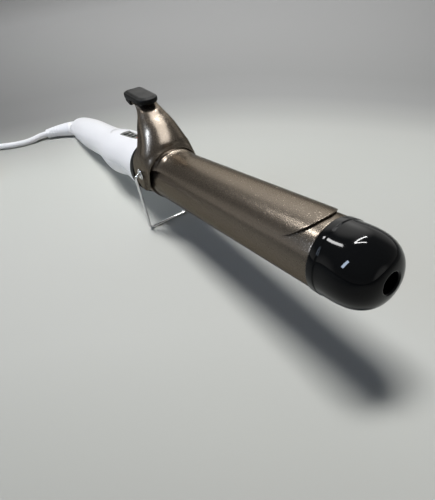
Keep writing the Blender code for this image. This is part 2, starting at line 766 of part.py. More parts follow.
def bracket(parent, finish):
    """The band round the barrel that carries both pivots, with a flat boss on each side."""
    start, end = PIVOT.x - BRACKET_BACK, PIVOT.x + BRACKET_FRONT
    inner = BRACKET_RADIUS - BRACKET_SHEET
    outline = ((start, inner), (start, BRACKET_RADIUS), (end, BRACKET_RADIUS), (end, inner))
    made = turned("hinge_bracket", outline, finish)
    face = BRACKET_RADIUS + BRACKET_BOSS_PROUD
    boss = rod("boss", PIVOT - Vector((0, face, 0)), PIVOT + Vector((0, face, 0)), BRACKET_BOSS_RADIUS, None, 24)
    within = inner + BRACKET_SHEET / 2
    clear = rod("clear", (start - OVERRUN, 0, 0), (end + OVERRUN, 0, 0), within, None, ROUND_STEPS)
    combine(boss, clear, "DIFFERENCE")
    combine(made, boss, "UNION")
    reach = Vector((0, STAND_TOP_HALF, 0))
    combine(made, rod("hole", PIVOT - reach, PIVOT + reach, EYELET_RADIUS + GAP), "DIFFERENCE")
    return seat(made, parent)


def ear_face():
    """How far out the ear's outer face stands."""
    return CLIP_RADIUS * EAR_WIDTH_SHARE + CLIP_SHEET / 2


def eyelets(parent, finish):
    """The hollow rivets that the clip turns on and the stand's ends sit in."""
    inner_end = math.sqrt(BARREL_RADIUS**2 - (PIVOT_RISE - EYELET_RADIUS) ** 2) + GAP
    under = ear_face() + GAP
    top = under + EYELET_HEAD
    bore = STAND_WIRE_RADIUS + GAP
    for name, side in (("pivot_eyelet_left", -1), ("pivot_eyelet_right", 1)):
        outline = [
            (inner_end, bore),
            (inner_end, EYELET_RADIUS),
            (under, EYELET_RADIUS),
            (under, EYELET_HEAD_RADIUS),
            (under + EYELET_HEAD / 2, EYELET_HEAD_RADIUS),
            (top, EYELET_RADIUS + EYELET_HEAD),
            (top, bore),
        ]
        seat(turned_at(name, outline, PIVOT, (0, side, 0), finish, 20), parent, PIVOT)


def spring(parent, clip_parent, finish):
    """The double torsion spring on its pin: two coils, a bridge against the lever and two legs on the band."""
    points = [
        Vector((PIN.x - SPRING_LEG, -SPRING_OUTER_SIDE, PIN.z - SPRING_COIL_RADIUS - SPRING_LEG_DROP)),
    ]
    count = round((SPRING_TURNS + 0.25) * SPRING_POINTS)
    for step in range(count + 1):
        share = step / count
        turn = -math.pi / 2 + share * (SPRING_TURNS + 0.25) * math.tau
        side = -SPRING_OUTER_SIDE + (SPRING_OUTER_SIDE - SPRING_INNER_SIDE) * share
        place = Vector((math.cos(turn), 0, math.sin(turn))) * SPRING_COIL_RADIUS
        points.append(PIN + place + Vector((0, side, 0)))
    foot = points[-1]
    top = PIN + Vector((SPRING_BRIDGE_AHEAD, -SPRING_INNER_SIDE, SPRING_BRIDGE_RISE))
    bridge = [foot.lerp(top, share) for share in (0.35, 0.7)]
    rounded = rounded_path((bridge[-1], top, Vector((top.x, 0, top.z))), (SPRING_WIRE_RADIUS * 2,), 3)
    points += bridge[:1] + rounded
    mirrored = [Vector((point.x, -point.y, point.z)) for point in reversed(points[:-1])]
    seat(tube("clip_spring", points + mirrored, SPRING_WIRE_RADIUS, finish, 1), parent)
    half = Vector((0, PIN_HALF_LENGTH, 0))
    seat(rod("spring_pin", PIN - half, PIN + half, PIN_RADIUS, finish), clip_parent, PIVOT)


def stand(parent, finish):
    """The bent wire stand, from one eyelet down, along the table and up to the other."""
    corners = [
        PIVOT + Vector((0, -STAND_END_HALF, 0)),
        PIVOT + Vector((0, -STAND_TOP_HALF, 0)),
        FOOT + Vector((0, -STAND_FOOT_HALF, 0)),
        FOOT + Vector((0, STAND_FOOT_HALF, 0)),
        PIVOT + Vector((0, STAND_TOP_HALF, 0)),
        PIVOT + Vector((0, STAND_END_HALF, 0)),
    ]
    bends = (STAND_EYE_BEND, STAND_FOOT_BEND, STAND_FOOT_BEND, STAND_EYE_BEND)
    path = rounded_path(corners, bends, 6)
    return seat(tube("stand_wire", path, STAND_WIRE_RADIUS, finish, 3), parent, PIVOT)


def handle_profile(share):
    """Radius at the top and at the bottom of the handle, on a smooth curve through the profile's rows."""
    rows = HANDLE_PROFILE_SHARES
    index = max(i for i, row in enumerate(rows[:-1]) if row[0] <= share)
    start, end = rows[index], rows[index + 1]
    before, after = rows[max(index - 1, 0)], rows[min(index + 2, len(rows) - 1)]
    span = end[0] - start[0]
    t = (share - start[0]) / span
    radii = []
    for side in (1, 2):
        slope_in = (end[side] - before[side]) / (end[0] - before[0]) * span
        slope_out = (after[side] - start[side]) / (after[0] - start[0]) * span
        value = (
            start[side] * (2 * t**3 - 3 * t**2 + 1)
            + slope_in * (t**3 - 2 * t**2 + t)
            + end[side] * (3 * t**2 - 2 * t**3)
            + slope_out * (t**3 - t**2)
        )
        radii.append(value * HANDLE_RADIUS)
    return radii


def handle_point(share, inset, turn):
    """A point on the handle's skin, or so far inside it, at an angle from +Y."""
    top, bottom = handle_profile(share)
    radius = bottom + (top - bottom) * (1 + math.sin(turn)) / 2 - inset
    along = HANDLE_START - HANDLE_LENGTH * share
    return Vector((along, radius * math.cos(turn), radius * math.sin(turn)))


def handle_turns(share, inset, side, steps):
    """Angles over one half of the section, stopping half a gap short of the parting plane."""
    radius = handle_point(share, inset, 0.0).y
    start = math.asin(GAP / 2 / radius)
    return [side * (start + (math.pi - 2 * start) * step / steps) for step in range(steps + 1)]


def handle_half(name, side, finish):
    """Half of the hollow handle, above or below the parting plane."""
    rings = []
    for station in range(HANDLE_STATIONS + 1):
        share = station / HANDLE_STATIONS
        outer = [handle_point(share, 0.0, turn) for turn in handle_turns(share, 0.0, side, HANDLE_SECTION_STEPS)]
        inner_turns = handle_turns(share, HANDLE_WALL, side, HANDLE_SECTION_STEPS)
        inner = [handle_point(share, HANDLE_WALL, turn) for turn in reversed(inner_turns)]
        rings.append(outer + inner)
    return mesh_object(name, loft(rings), finish)


def handle_core(name, inset):
    """The handle as a solid, so far inside its skin."""
    rings = []
    for station in range(HANDLE_STATIONS + 1):
        turns = [math.tau * step / (HANDLE_SECTION_STEPS * 2) for step in range(HANDLE_SECTION_STEPS * 2)]
        rings.append([handle_point(station / HANDLE_STATIONS, inset, turn) for turn in turns])
    return mesh_object(name, loft(rings))


def inlay_outline(part, grow=0.0):
    """Plan of the inlay: a long oval, small in front and wide behind, or its front or rear part alone."""
    front, rear = PANEL_FRONT_RADIUS + grow, PANEL_REAR_RADIUS + grow
    start = HANDLE_START - PANEL_FRONT
    front_x, rear_x = start - PANEL_FRONT_RADIUS, start - INLAY_LENGTH + PANEL_REAR_RADIUS
    turn = math.acos((front - rear) / (front_x - rear_x))
    nose = arc((front_x, 0.0), front, -turn, turn, PANEL_ARC_STEPS)
    tail = arc((rear_x, 0.0), rear, turn, math.tau - turn, PANEL_ARC_STEPS)
    if part == "whole":
        return nose + tail
    joint = start - PANEL_LENGTH - (GAP if part == "tail" else 0.0)
    (x1, y1), (x2, y2) = nose[-1], tail[0]
    half = y1 + (y2 - y1) * (joint - x1) / (x2 - x1)
    if part == "tail":
        return [(joint, -half), (joint, half)] + tail
    return nose + [(joint, half), (joint, -half)]


def at_handle_top(place):
    """Point on the top line of the handle, so far behind its front edge."""
    return handle_point(place / HANDLE_LENGTH, 0.0, math.pi / 2)


def inlay(name, part, reach, finish):
    """A piece of the inlay, as thick as a skin just under the handle's surface."""
    made = prism(name, inlay_outline(part), 0.0, reach, finish)
    combine(made, handle_core("skin", PANEL_SINK), "INTERSECT")
    combine(made, handle_core("underside", PANEL_SINK + PANEL_THICKNESS), "DIFFERENCE")
    return made


def panel_and_buttons(parent, upper, panel_finish, tail_finish, button_finish, lens_finish):
    """The inlaid panel and its tail piece, their recess, and the buttons and lens that pass through."""
    reach = HANDLE_RADIUS + OVERRUN
    panel = inlay("control_panel", "nose", reach, panel_finish)
    seat(inlay("panel_tail", "tail", reach, tail_finish), parent)
    recess = prism("recess", inlay_outline("whole", GAP), 0.0, reach)
    combine(recess, handle_core("recess_floor", PANEL_SINK + PANEL_THICKNESS + GAP), "DIFFERENCE")
    combine(upper, recess, "DIFFERENCE")
    upper_holes, panel_holes = [], []
    through = board_top() + SWITCH_HEIGHT
    stem_end = board_top() + SWITCH_BORE_FLOOR + GAP + BUTTON_TRAVEL
    for name, place, radius in zip(BUTTON_NAMES, BUTTON_PLACES, BUTTON_RADII):
        top = at_handle_top(place)
        cap_top = top.z - PANEL_SINK + BUTTON_PROUD
        cap_low = cap_top - BUTTON_CAP
        ledge = cap_low - BUTTON_TRAVEL - GAP
        start = Vector((top.x, 0, through))
        upper_holes.append(stepped_hole(start, STEM_RADIUS + GAP, ledge - through, radius + GAP, reach - ledge))
        panel_holes.append(rod("hole", start, Vector((top.x, 0, reach)), radius + GAP, None, 24))
        outline = (
            (stem_end, 0.0),
            (stem_end, STEM_RADIUS),
            (cap_low, STEM_RADIUS),
            (cap_low, radius),
            (cap_top - BUTTON_EDGE, radius),
            (cap_top, radius - BUTTON_EDGE),
            (cap_top, 0.0),
        )
        made = turned_at(name, outline, (top.x, 0, 0), (0, 0, 1), button_finish, 20)
        seat(made, parent, Vector((top.x, 0, cap_top)))
    lens_top = at_handle_top(LENS_PLACE) - Vector((0, 0, PANEL_SINK))
    lens_low = Vector((lens_top.x, 0, board_top() + GAP))
    for holes in (upper_holes, panel_holes):
        holes.append(rod("hole", lens_low, Vector((lens_top.x, 0, reach)), LENS_RADIUS + GAP))
    combine(upper, together(upper_holes), "DIFFERENCE")
    combine(panel, together(panel_holes), "DIFFERENCE")
    seat(rod("indicator_lens", lens_low, lens_top, LENS_RADIUS, lens_finish), parent)
    seat(panel, parent)


def board_top():
    return HANDLE_RADIUS - BOARD_DROP


def board(parent, green, black):
    """The circuit board with a switch under each button."""
    top = board_top()
    front = HANDLE_START - BOARD_FRONT
    low = (front - BOARD_LENGTH, -BOARD_HALF_WIDTH, top - BOARD_THICKNESS)
    seat(block("circuit_board", low, (front, BOARD_HALF_WIDTH, top), green), parent)
    for name, place in zip(SWITCH_NAMES, BUTTON_PLACES):
        x = at_handle_top(place).x
        half = SWITCH_SIDE / 2
        body = block(name, (x - half, -half, top + GAP), (x + half, half, top + SWITCH_HEIGHT), black)
        floor = Vector((x, 0, top + SWITCH_BORE_FLOOR))
        combine(body, rod("bore", floor, floor + Vector((0, 0, OVERRUN)), STEM_RADIUS + GAP), "DIFFERENCE")
        seat(body, parent)


def collar(parent, finish):
    """The dark heat collar: it holds the barrel's end and plugs into the handle's mouth."""
    sleeve = HANDLE_PROFILE_SHARES[0][1] * HANDLE_RADIUS - HANDLE_WALL - GAP * 2
    back = HANDLE_START + GAP
    seat_face = -BARREL_LENGTH - GAP
    outline = [
        (COLLAR_FRONT, BARREL_RADIUS + GAP),
        (COLLAR_FRONT, COLLAR_RADIUS - COLLAR_EDGE),
        (COLLAR_FRONT - COLLAR_EDGE, COLLAR_RADIUS),
        (back + COLLAR_EDGE, COLLAR_RADIUS),
        (back, COLLAR_RADIUS - COLLAR_EDGE),
        (back, sleeve),
        (back - COLLAR_SLEEVE, sleeve),
        (back - COLLAR_SLEEVE, sleeve - COLLAR_SLEEVE_WALL),
        (seat_face, sleeve - COLLAR_SLEEVE_WALL),
        (seat_face, BARREL_RADIUS + GAP),
    ]
    return seat(turned("heat_collar", outline, finish), parent)


def swivel_core(name, finish):
    """The turning end piece: stem and flange inside the handle, round end and side stub outside."""
    centre = HANDLE_END - GAP
    flange_front = HANDLE_END + FLANGE_INSET
    ball = arc((centre, 0.0), SWIVEL_RADIUS, math.pi / 2, math.pi, 8)
    outline = [
        (flange_front, STEM_BORE_RADIUS),
        (flange_front, FLANGE_RADIUS),
        (flange_front - FLANGE_WIDTH, FLANGE_RADIUS),
        (flange_front - FLANGE_WIDTH, STEM_WALL_RADIUS),
        (centre, STEM_WALL_RADIUS),
        *ball[:-1],
        (ball[-1][0], 0.0),
        (centre + STEM_BORE_RADIUS, 0.0),
        (centre + STEM_BORE_RADIUS, STEM_BORE_RADIUS),
    ]
    made = turned(name, outline, finish)
    middle = Vector((centre, 0, 0))
    stub = rod("stub", middle, middle + swivel_direction() * SWIVEL_STUB, SWIVEL_STUB_RADIUS, None, 24)
    front = block("front", (centre, -OVERRUN * 4, -OVERRUN * 4), (centre + OVERRUN * 4, OVERRUN * 4, OVERRUN * 4))
    combine(stub, front, "DIFFERENCE")
    combine(made, stub, "UNION")
    return made


def pitch():
    """How far the tip is raised, from the heel's radius, the stand's foot and the distance between them."""
    heel_x = HANDLE_START - HANDLE_LENGTH * HEEL_STATION_SHARE
    heel_radius = handle_profile(HEEL_STATION_SHARE)[1] - HEEL_FLAT_DEPTH
    along, down = FOOT.x - heel_x, FOOT.z
    return math.asin((STAND_WIRE_RADIUS - heel_radius) / math.hypot(along, down)) - math.atan2(down, along)


def resting_place():
    """The matrix that stands the iron on the table with its bounding box centred over the origin."""
    turn = Matrix.Rotation(-pitch(), 4, "Y")
    lift = STAND_WIRE_RADIUS - (turn @ FOOT).z
    dome = CAP_LENGTH - CAP_STRAIGHT
    front = max(
        (turn @ Vector((CAP_STRAIGHT + dome * step / 60, 0, -dome_radius(step / 60, CAP_WALL_RADIUS)))).x
        for step in range(61)
        if dome_radius(step / 60, CAP_WALL_RADIUS) >= CAP_HOLE_RADIUS + CAP_HOLE_LIP
    )
    stub = Vector((math.cos(SWIVEL_BEARING), math.sin(SWIVEL_BEARING))) * math.cos(SWIVEL_DIP)
    rim = math.sqrt(1 - stub.x**2) * SWIVEL_STUB_RADIUS
    rear = (turn @ Vector((HANDLE_END - GAP, 0, 0))).x - stub.x * SWIVEL_STUB - rim
    return Matrix.Translation((-(front + rear) / 2, 0, lift)) @ turn


def swivel_direction():
    """Which way the cord leaves the swivel, in the iron's own frame."""
    level = Vector((-math.cos(SWIVEL_BEARING), -math.sin(SWIVEL_BEARING), 0)) * math.cos(SWIVEL_DIP)
    world = level - Vector((0, 0, math.sin(SWIVEL_DIP)))
    return Matrix.Rotation(pitch(), 3, "Y") @ world


def relief_path(place):
    """Middle line of the strain relief on the table, bending sideways as it goes."""
    start = place @ Vector((HANDLE_END - GAP, 0, 0))
    points = []
    heading = SWIVEL_BEARING
    level = Vector((-math.cos(heading), -math.sin(heading), -math.tan(SWIVEL_DIP))).normalized()
    points.append(start + level * (SWIVEL_STUB + GAP))
    step = RELIEF_LENGTH / RELIEF_STEPS
    for _ in range(RELIEF_STEPS):
        level = Vector((-math.cos(heading), -math.sin(heading), -math.tan(SWIVEL_DIP))).normalized()
        points.append(points[-1] + level * step)
        heading += RELIEF_TURN / RELIEF_STEPS
    return points


def coil_points():
    """Middle line of the coil: in along the lower layer, up in half a turn, out along the upper one."""
    centre = Vector((COIL_CENTRE[0], COIL_CENTRE[1], CORD_RADIUS + COIL_LIFT))
    turns = COIL_TURNS_IN + 0.5 + COIL_TURNS_OUT
    pitch_in = (COIL_OUTER_RADIUS - COIL_INNER_RADIUS) / COIL_TURNS_IN
    points = []
    for step in range(round(turns * LOOP_POINTS) + 1):
        turn = step / LOOP_POINTS
        climb = min(max((turn - COIL_TURNS_IN) / 0.5, 0.0), 1.0)
        if turn <= COIL_TURNS_IN:
            radius = COIL_OUTER_RADIUS - pitch_in * turn
        else:
            radius = COIL_INNER_RADIUS + pitch_in * max(turn - COIL_TURNS_IN - 0.5, 0.0)
        radius -= COIL_DIP * math.sin(climb * math.pi)
        angle = math.pi + turn * math.tau
        lift = COIL_RISE * (1 - math.cos(climb * math.pi)) / 2
        points.append(centre + Vector((radius * math.cos(angle), radius * math.sin(angle), lift)))
    return points


def tail_points(start, leaving):
    """Middle line of the last stretch: on from the coil, round its side and down to the plug."""
    plug_height = PLUG_HALF_HEIGHT + GAP
    bearing = math.atan2(leaving.y, leaving.x)
    place = Vector((start.x, start.y, 0))
    points = [start]
    for step in range(TAIL_STEPS):
        share = (step + 1) / TAIL_STEPS
        bearing += TAIL_TURN / TAIL_STEPS
        place += Vector((math.cos(bearing), math.sin(bearing), 0)) * TAIL_LENGTH / TAIL_STEPS
        down = min(share / 0.9, 1.0)
        height = start.z + (plug_height - start.z) * (1 - math.cos(down * math.pi)) / 2
        points.append(place + Vector((0, 0, height)))
    return points


def least_gap(points, radius):
    """Least clear distance between stretches of a tube that aren't next to each other."""
    skip = LOOP_POINTS // 2
    return min(
        (points[i] - points[j]).length - 2 * radius
        for i in range(len(points))
        for j in range(i + skip, len(points))
    )


def cord(parent, place, white, rubber, brass, black):
    """Strain relief, lead, coil, tie, tail and plug, all turning with the swivel."""
    inverse = parent.matrix_world.inverted()

    def lay(target):
        target.data.transform(inverse)
        target.parent = parent
        if target.type == "MESH":
            smooth(target)
        return target

    relief = relief_path(place)
    shares = [
        1 + (RELIEF_END_RADIUS / RELIEF_START_RADIUS - 1) * step / RELIEF_STEPS for step in range(RELIEF_STEPS + 1)
    ]
    lay(tube("strain_relief", relief, RELIEF_START_RADIUS, rubber, 3, shares))
    leaving = (relief[-1] - relief[-2]).normalized()
    start = relief[-1] + leaving * GAP
    coil = coil_points()
    entry = coil[0] + Vector((0, CORD_RADIUS * 2 + GAP, 0))
    route = [start, start + leaving * CORD_RADIUS * 2, *map(Vector, CORD_ROUTE), entry + Vector((0, CORD_RADIUS * 2, 0)), entry]
    lay(tube("cord_lead", curve_through(route, CORD_SPACING), CORD_RADIUS, white, 2))
    leaving = (coil[-1] - coil[-2]).normalized()
    leaving.z = 0
    last = coil[-1] + leaving * CORD_RADIUS * 2
    coil_line = [coil[0] + Vector((0, CORD_RADIUS * 2, 0)), *coil, last]
    print(f"coil: least gap to itself {least_gap(coil_line, CORD_RADIUS) * 1000:.2f} mm")
    lay(tube("cord_coil", coil_line, CORD_RADIUS, white, 1))
    tail = tail_points(last + leaving * GAP, leaving)
    tail_end = tail[-1]
    lay(tube("cord_tail", tail, CORD_RADIUS, white, 2))
    lay(tie(black))
    heading = (tail_end - tail[-2]).normalized()
    heading.z = 0
    for piece in plug(white, brass):
        angle = Euler((0, 0, math.atan2(heading.y, heading.x))).to_matrix().to_4x4()
        piece.data.transform(Matrix.Translation(tail_end + heading.normalized() * GAP) @ angle)
        lay(piece)


def tie(finish):
    """A band round all the turns of the coil, on its far side from the entry."""
    reach_in = COIL_INNER_RADIUS - COIL_DIP - CORD_RADIUS - GAP * 2
    half_turn_in = (COIL_OUTER_RADIUS - COIL_INNER_RADIUS) / COIL_TURNS_IN / 2
    reach_out = COIL_OUTER_RADIUS - half_turn_in + CORD_RADIUS + GAP * 2
    top = COIL_LIFT + COIL_RISE + CORD_RADIUS * 2 + GAP * 2 + TIE_THICKNESS

    def section(inset):
        corner = TIE_CORNER - inset
        low, high = inset, top - inset
        inner, outer = reach_in - TIE_THICKNESS + inset, reach_out + TIE_THICKNESS - inset
        return (
            arc((outer - corner, high - corner), corner, 0.0, math.pi / 2, 4)
            + arc((inner + corner, high - corner), corner, math.pi / 2, math.pi, 4)
            + arc((inner + corner, low + corner), corner, math.pi, math.pi * 1.5, 4)
            + arc((outer - corner, low + corner), corner, math.pi * 1.5, math.tau, 4)
        )

    bm = bmesh.new()
    loops = []
    for inset, side in ((0.0, -1), (0.0, 1), (TIE_THICKNESS, 1), (TIE_THICKNESS, -1)):
        loops.append(
            [
                bm.verts.new((COIL_CENTRE[0] + x, COIL_CENTRE[1] + side * TIE_WIDTH / 2, z))
                for x, z in section(inset)
            ]
        )
    count = len(loops[0])
    for first, second in zip(loops, loops[1:] + loops[:1]):
        for index in range(count):
            after = (index + 1) % count
            bm.faces.new((first[index], first[after], second[after], second[index]))
    return mesh_object("cord_tie", bm, finish)


def plug(white, brass):
    """A flat two-blade plug, drawn from its cord end along +X."""
    def ring(along, half_width, half_height, power):
        points = []
        for step in range(24):
            turn = math.tau * step / 24
            c, s = math.cos(turn), math.sin(turn)
            reach = (abs(c) ** power + abs(s) ** power) ** (-1 / power)
            points.append((along, half_width * reach * c, half_height * reach * s))
        return points

    neck, length = PLUG_NECK, PLUG_NECK + PLUG_LENGTH
    rings = [
        ring(0.0, CORD_RADIUS + GAP * 2, CORD_RADIUS + GAP * 2, 2),
        ring(neck * 0.8, PLUG_NECK_RADIUS, PLUG_NECK_RADIUS, 2),
        ring(neck, PLUG_HALF_WIDTH * 0.6, PLUG_HALF_HEIGHT * 0.8, 3),
        ring(neck + PLUG_LENGTH * 0.3, PLUG_HALF_WIDTH, PLUG_HALF_HEIGHT, 5),
        ring(length - PLUG_LENGTH * 0.1, PLUG_HALF_WIDTH, PLUG_HALF_HEIGHT, 5),
        ring(length, PLUG_HALF_WIDTH * 0.94, PLUG_HALF_HEIGHT * 0.9, 5),
    ]
    body = mesh_object("plug_body", loft(rings), white)
    pieces = [body]
    for name, side in (("plug_blade_left", -1), ("plug_blade_right", 1)):
        y = side * BLADE_SPACING / 2
        low = Vector((length - BLADE_ROOT, y - BLADE_THICKNESS / 2, -BLADE_WIDTH / 2))
        high = Vector((length + BLADE_LENGTH, y + BLADE_THICKNESS / 2, BLADE_WIDTH / 2))
        grow = Vector((GAP, GAP, GAP))
        combine(body, block("slot", low - grow, high + grow), "DIFFERENCE")
        pieces.append(block(name, low, high, brass))
    return pieces


def build():
    for leftover in list(bpy.data.objects):
        bpy.data.objects.remove(leftover)
    taupe = material("taupe metallic", (0.115, 0.098, 0.084), 0.36, 0.75)
    black_gloss = material("black gloss", (0.008, 0.008, 0.009), 0.12, 0.0)
    black_satin = material("black satin", (0.02, 0.02, 0.021), 0.45, 0.0)
    chrome = material("bright wire", (0.72, 0.72, 0.74), 0.18, 1.0)
    spring_steel = material("spring steel", (0.42, 0.42, 0.43), 0.35, 1.0)
    aluminium = material("aluminium", (0.6, 0.6, 0.61), 0.4, 1.0)
    ceramic = material("ceramic", (0.75, 0.72, 0.66), 0.7, 0.0)
    copper = material("glass-sleeved lead", (0.7, 0.68, 0.62), 0.8, 0.0)
    white = material("white shell", (0.82, 0.83, 0.86), 0.32, 0.0)
    rubber = material("white flexible", (0.8, 0.81, 0.83), 0.5, 0.0)
    grey = material("grey inlay", (0.12, 0.125, 0.11), 0.4, 0.2)
    button = material("pale button", (0.6, 0.6, 0.6), 0.45, 0.0)
    lens = material("clear lens", (0.8, 0.35, 0.3), 0.15, 0.0)
    green = material("circuit board", (0.02, 0.16, 0.07), 0.5, 0.0)
    brass = material("brass", (0.75, 0.6, 0.3), 0.3, 1.0)

    place = resting_place()
    iron = bpy.data.objects.new("iron_axis", None)
    bpy.context.scene.collection.objects.link(iron)
    iron.matrix_world = place
    bpy.context.view_layer.update()

    barrel(iron, taupe, aluminium, ceramic, copper)
    tip(iron, black_gloss, ceramic, spring_steel)
    clip(iron, taupe)
    thumb_rest(iron, black_satin, spring_steel)
    bracket(iron, taupe)
    eyelets(iron, chrome)
    spring(iron, iron, spring_steel)
    stand(iron, chrome)
    collar(iron, black_satin)

    upper = handle_half("handle_upper", 1, white)
    lower = handle_half("handle_lower", -1, white)
    handle_joinery(iron, place, upper, lower, spring_steel)
    panel_and_buttons(iron, upper, grey, white, button, lens)
    board(iron, green, black_satin)
    seat(upper, iron)
    seat(lower, iron)

    seat(contact_holder(black_satin), iron)
    seat(swivel_core("cord_swivel", white), iron, Vector((HANDLE_END, 0, 0)))
    cord(iron, place, white, rubber, brass, black_satin)


def handle_joinery(parent, place, upper, lower, finish):
    """The flat that the heel rests on, screw bosses in both halves, and the two screws."""
    table = block(
        "table",
        (-HANDLE_LENGTH * 2, -HANDLE_RADIUS * 2, -HANDLE_RADIUS),
        (HANDLE_LENGTH, HANDLE_RADIUS * 2, 0.0),
    )
    table.data.transform(place.inverted())
    combine(lower, table, "DIFFERENCE")
    parting = Vector((0, 0, GAP / 2))
    upper_bosses, lower_bosses, upper_bores, lower_bores = [], [], [], []
    for name, share in zip(("handle_screw_front", "handle_screw_rear"), BOSS_SHARES):
        floor, ceiling = (handle_point(share, HANDLE_WALL / 2, side * math.pi / 2) for side in (-1, 1))
        middle = Vector((floor.x, 0, 0))
        upper_bosses.append(rod("boss", middle + parting, ceiling, BOSS_RADIUS, None, 20))
        lower_bosses.append(rod("boss", floor, middle - parting, BOSS_RADIUS, None, 20))
        outside = handle_point(share, 0.0, -math.pi / 2)
        below = outside - Vector((0, 0, OVERRUN))
        head_seat = outside + Vector((0, 0, SCREW_SINK))
        grip = SCREW_GRIP - head_seat.z
        sink, bore = SCREW_HEAD_RADIUS + GAP, SCREW_RADIUS + GAP
        lower_bores.append(stepped_hole(below, sink, OVERRUN + SCREW_SINK, bore, grip))
        upper_bores.append(rod("bore", middle - parting, head_seat + Vector((0, 0, grip)), bore))
        seat(screw(name, head_seat - Vector((0, 0, GAP)), (0, 0, 1), grip, finish), parent)
    for half, bosses, bores in ((upper, upper_bosses, upper_bores), (lower, lower_bosses, lower_bores)):
        combine(half, together(bosses), "UNION")
        combine(half, together(bores), "DIFFERENCE")


def contact_holder(finish):
    """The contact block that the turning stem's wires end at, a disc fitted inside the handle."""
    front = HANDLE_END + FLANGE_INSET + GAP + CONTACT_WIDTH
    share = (HANDLE_START - front) / HANDLE_LENGTH
    rear_share = share + CONTACT_WIDTH / HANDLE_LENGTH
    turns = [math.tau * step / ROUND_STEPS for step in range(ROUND_STEPS)]
    rings = [
        [handle_point(at, HANDLE_WALL + GAP, turn) for turn in turns]
        for at in (share, rear_share)
    ]
    made = mesh_object("contact_holder", loft(rings), finish)
    reach = Vector((CONTACT_WIDTH * 2, 0, 0))
    middle = Vector((front, 0, 0))
    combine(made, rod("bore", middle - reach, middle + reach, STEM_BORE_RADIUS), "DIFFERENCE")
    return made


build()
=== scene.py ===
"""Looks of a spring-clip curling wand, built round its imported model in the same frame, in metres.

Each section is one piece of the wand, or one group of like pieces, in the order in which it is put together.
Pieces of the iron are drawn along its own axis, +X to the tip, with zero where the barrel meets the tip cap.
"""

import json
import math

import bmesh
import bpy
from mathutils import Matrix, Vector


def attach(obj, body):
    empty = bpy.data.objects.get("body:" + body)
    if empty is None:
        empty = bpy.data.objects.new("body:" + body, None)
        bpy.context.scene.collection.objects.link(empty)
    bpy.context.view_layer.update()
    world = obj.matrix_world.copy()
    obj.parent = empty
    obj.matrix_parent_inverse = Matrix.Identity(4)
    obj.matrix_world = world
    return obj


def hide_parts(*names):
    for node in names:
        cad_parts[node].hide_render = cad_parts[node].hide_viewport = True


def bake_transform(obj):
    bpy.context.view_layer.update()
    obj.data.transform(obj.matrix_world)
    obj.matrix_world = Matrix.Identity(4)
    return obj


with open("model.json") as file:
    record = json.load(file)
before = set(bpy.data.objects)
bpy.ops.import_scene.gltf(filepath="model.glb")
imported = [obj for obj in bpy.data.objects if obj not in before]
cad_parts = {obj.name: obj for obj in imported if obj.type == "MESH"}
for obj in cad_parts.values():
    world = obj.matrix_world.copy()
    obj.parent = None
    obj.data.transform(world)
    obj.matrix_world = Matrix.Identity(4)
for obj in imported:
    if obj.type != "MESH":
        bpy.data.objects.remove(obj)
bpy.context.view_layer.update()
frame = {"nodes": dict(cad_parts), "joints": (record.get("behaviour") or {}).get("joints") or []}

# The camera stands close in front of the tip, to its right and a little above, as the photographer did.
# Its lens and place are fitted to the barrel's edges, the seam of the tip cap and the two ends of the stand.
CAMERA_ROWS = (
    (0.572298, -0.529859, 0.625879, 0.236617),
    (0.817344, 0.430470, -0.382942, -0.094618),
    (-0.066517, 0.730715, 0.679435, 0.184925),
)
SENSOR = 36.0
PICTURE_HEIGHT = 500
FOCAL_PIXELS = 380.0

camera_lens = bpy.data.cameras.new("camera")
camera_lens.sensor_fit = "AUTO"
camera_lens.sensor_width = SENSOR
camera_lens.lens = FOCAL_PIXELS / PICTURE_HEIGHT * SENSOR
camera_lens.clip_start = 0.005
camera_lens.clip_end = 50.0
camera = bpy.data.objects.new("camera", camera_lens)
camera.matrix_world = Matrix((*CAMERA_ROWS, (0.0, 0.0, 0.0, 1.0)))
bpy.context.scene.collection.objects.link(camera)
bpy.context.scene.camera = camera

# The iron lies with its tip raised, on its wire stand and the heel of its handle.
# Its axis is the one that the cord's swivel turns on, and the clip's pivot says how far along it lies.
PIVOT = Vector((-0.1490, 0.0, 0.0045))


def joint(name):
    return next(row for row in frame["joints"] if row["name"] == name)


def resting_place():
    """The matrix from the iron's own axis to its place on the table."""
    along = Vector(joint("cord_swivel_turn")["axis"]).normalized()
    across = Vector((0, 1, 0))
    turn = Matrix((along, across, along.cross(across))).transposed().to_4x4()
    return Matrix.Translation(Vector(joint("clip_hinge")["pos_m"]) - turn @ PIVOT) @ turn


LAY = resting_place()

# The free cord is white PVC over two cores, 6 mm across, about 1.8 m long with its strain relief and plug.
# It drops to the table behind the handle and runs out of the view. The rest is wound in a neat coil of two
# layers beside the handle's end, held by a black band, with the plug laid against it.
CORD_RADIUS = 0.0030
CORD_WHITE = (0.85, 0.855, 0.88, 1.0)
CORD_LEAD = (
    (-0.2033, -0.0326, 0.0053), (-0.2047, -0.0392, 0.0047), (-0.2042, -0.0460, 0.0038),
    (-0.2041, -0.0528, 0.0032), (-0.2049, -0.0597, 0.0031), (-0.2067, -0.0663, 0.0031),
    (-0.2094, -0.0727, 0.0031), (-0.2126, -0.0788, 0.0031), (-0.2153, -0.0851, 0.0031),
    (-0.2172, -0.0917, 0.0031), (-0.2183, -0.0985, 0.0031), (-0.2187, -0.1053, 0.0031),
    (-0.2186, -0.1122, 0.0031), (-0.2183, -0.1191, 0.0032), (-0.2179, -0.1260, 0.0034),
    (-0.2175, -0.1328, 0.0039),
)
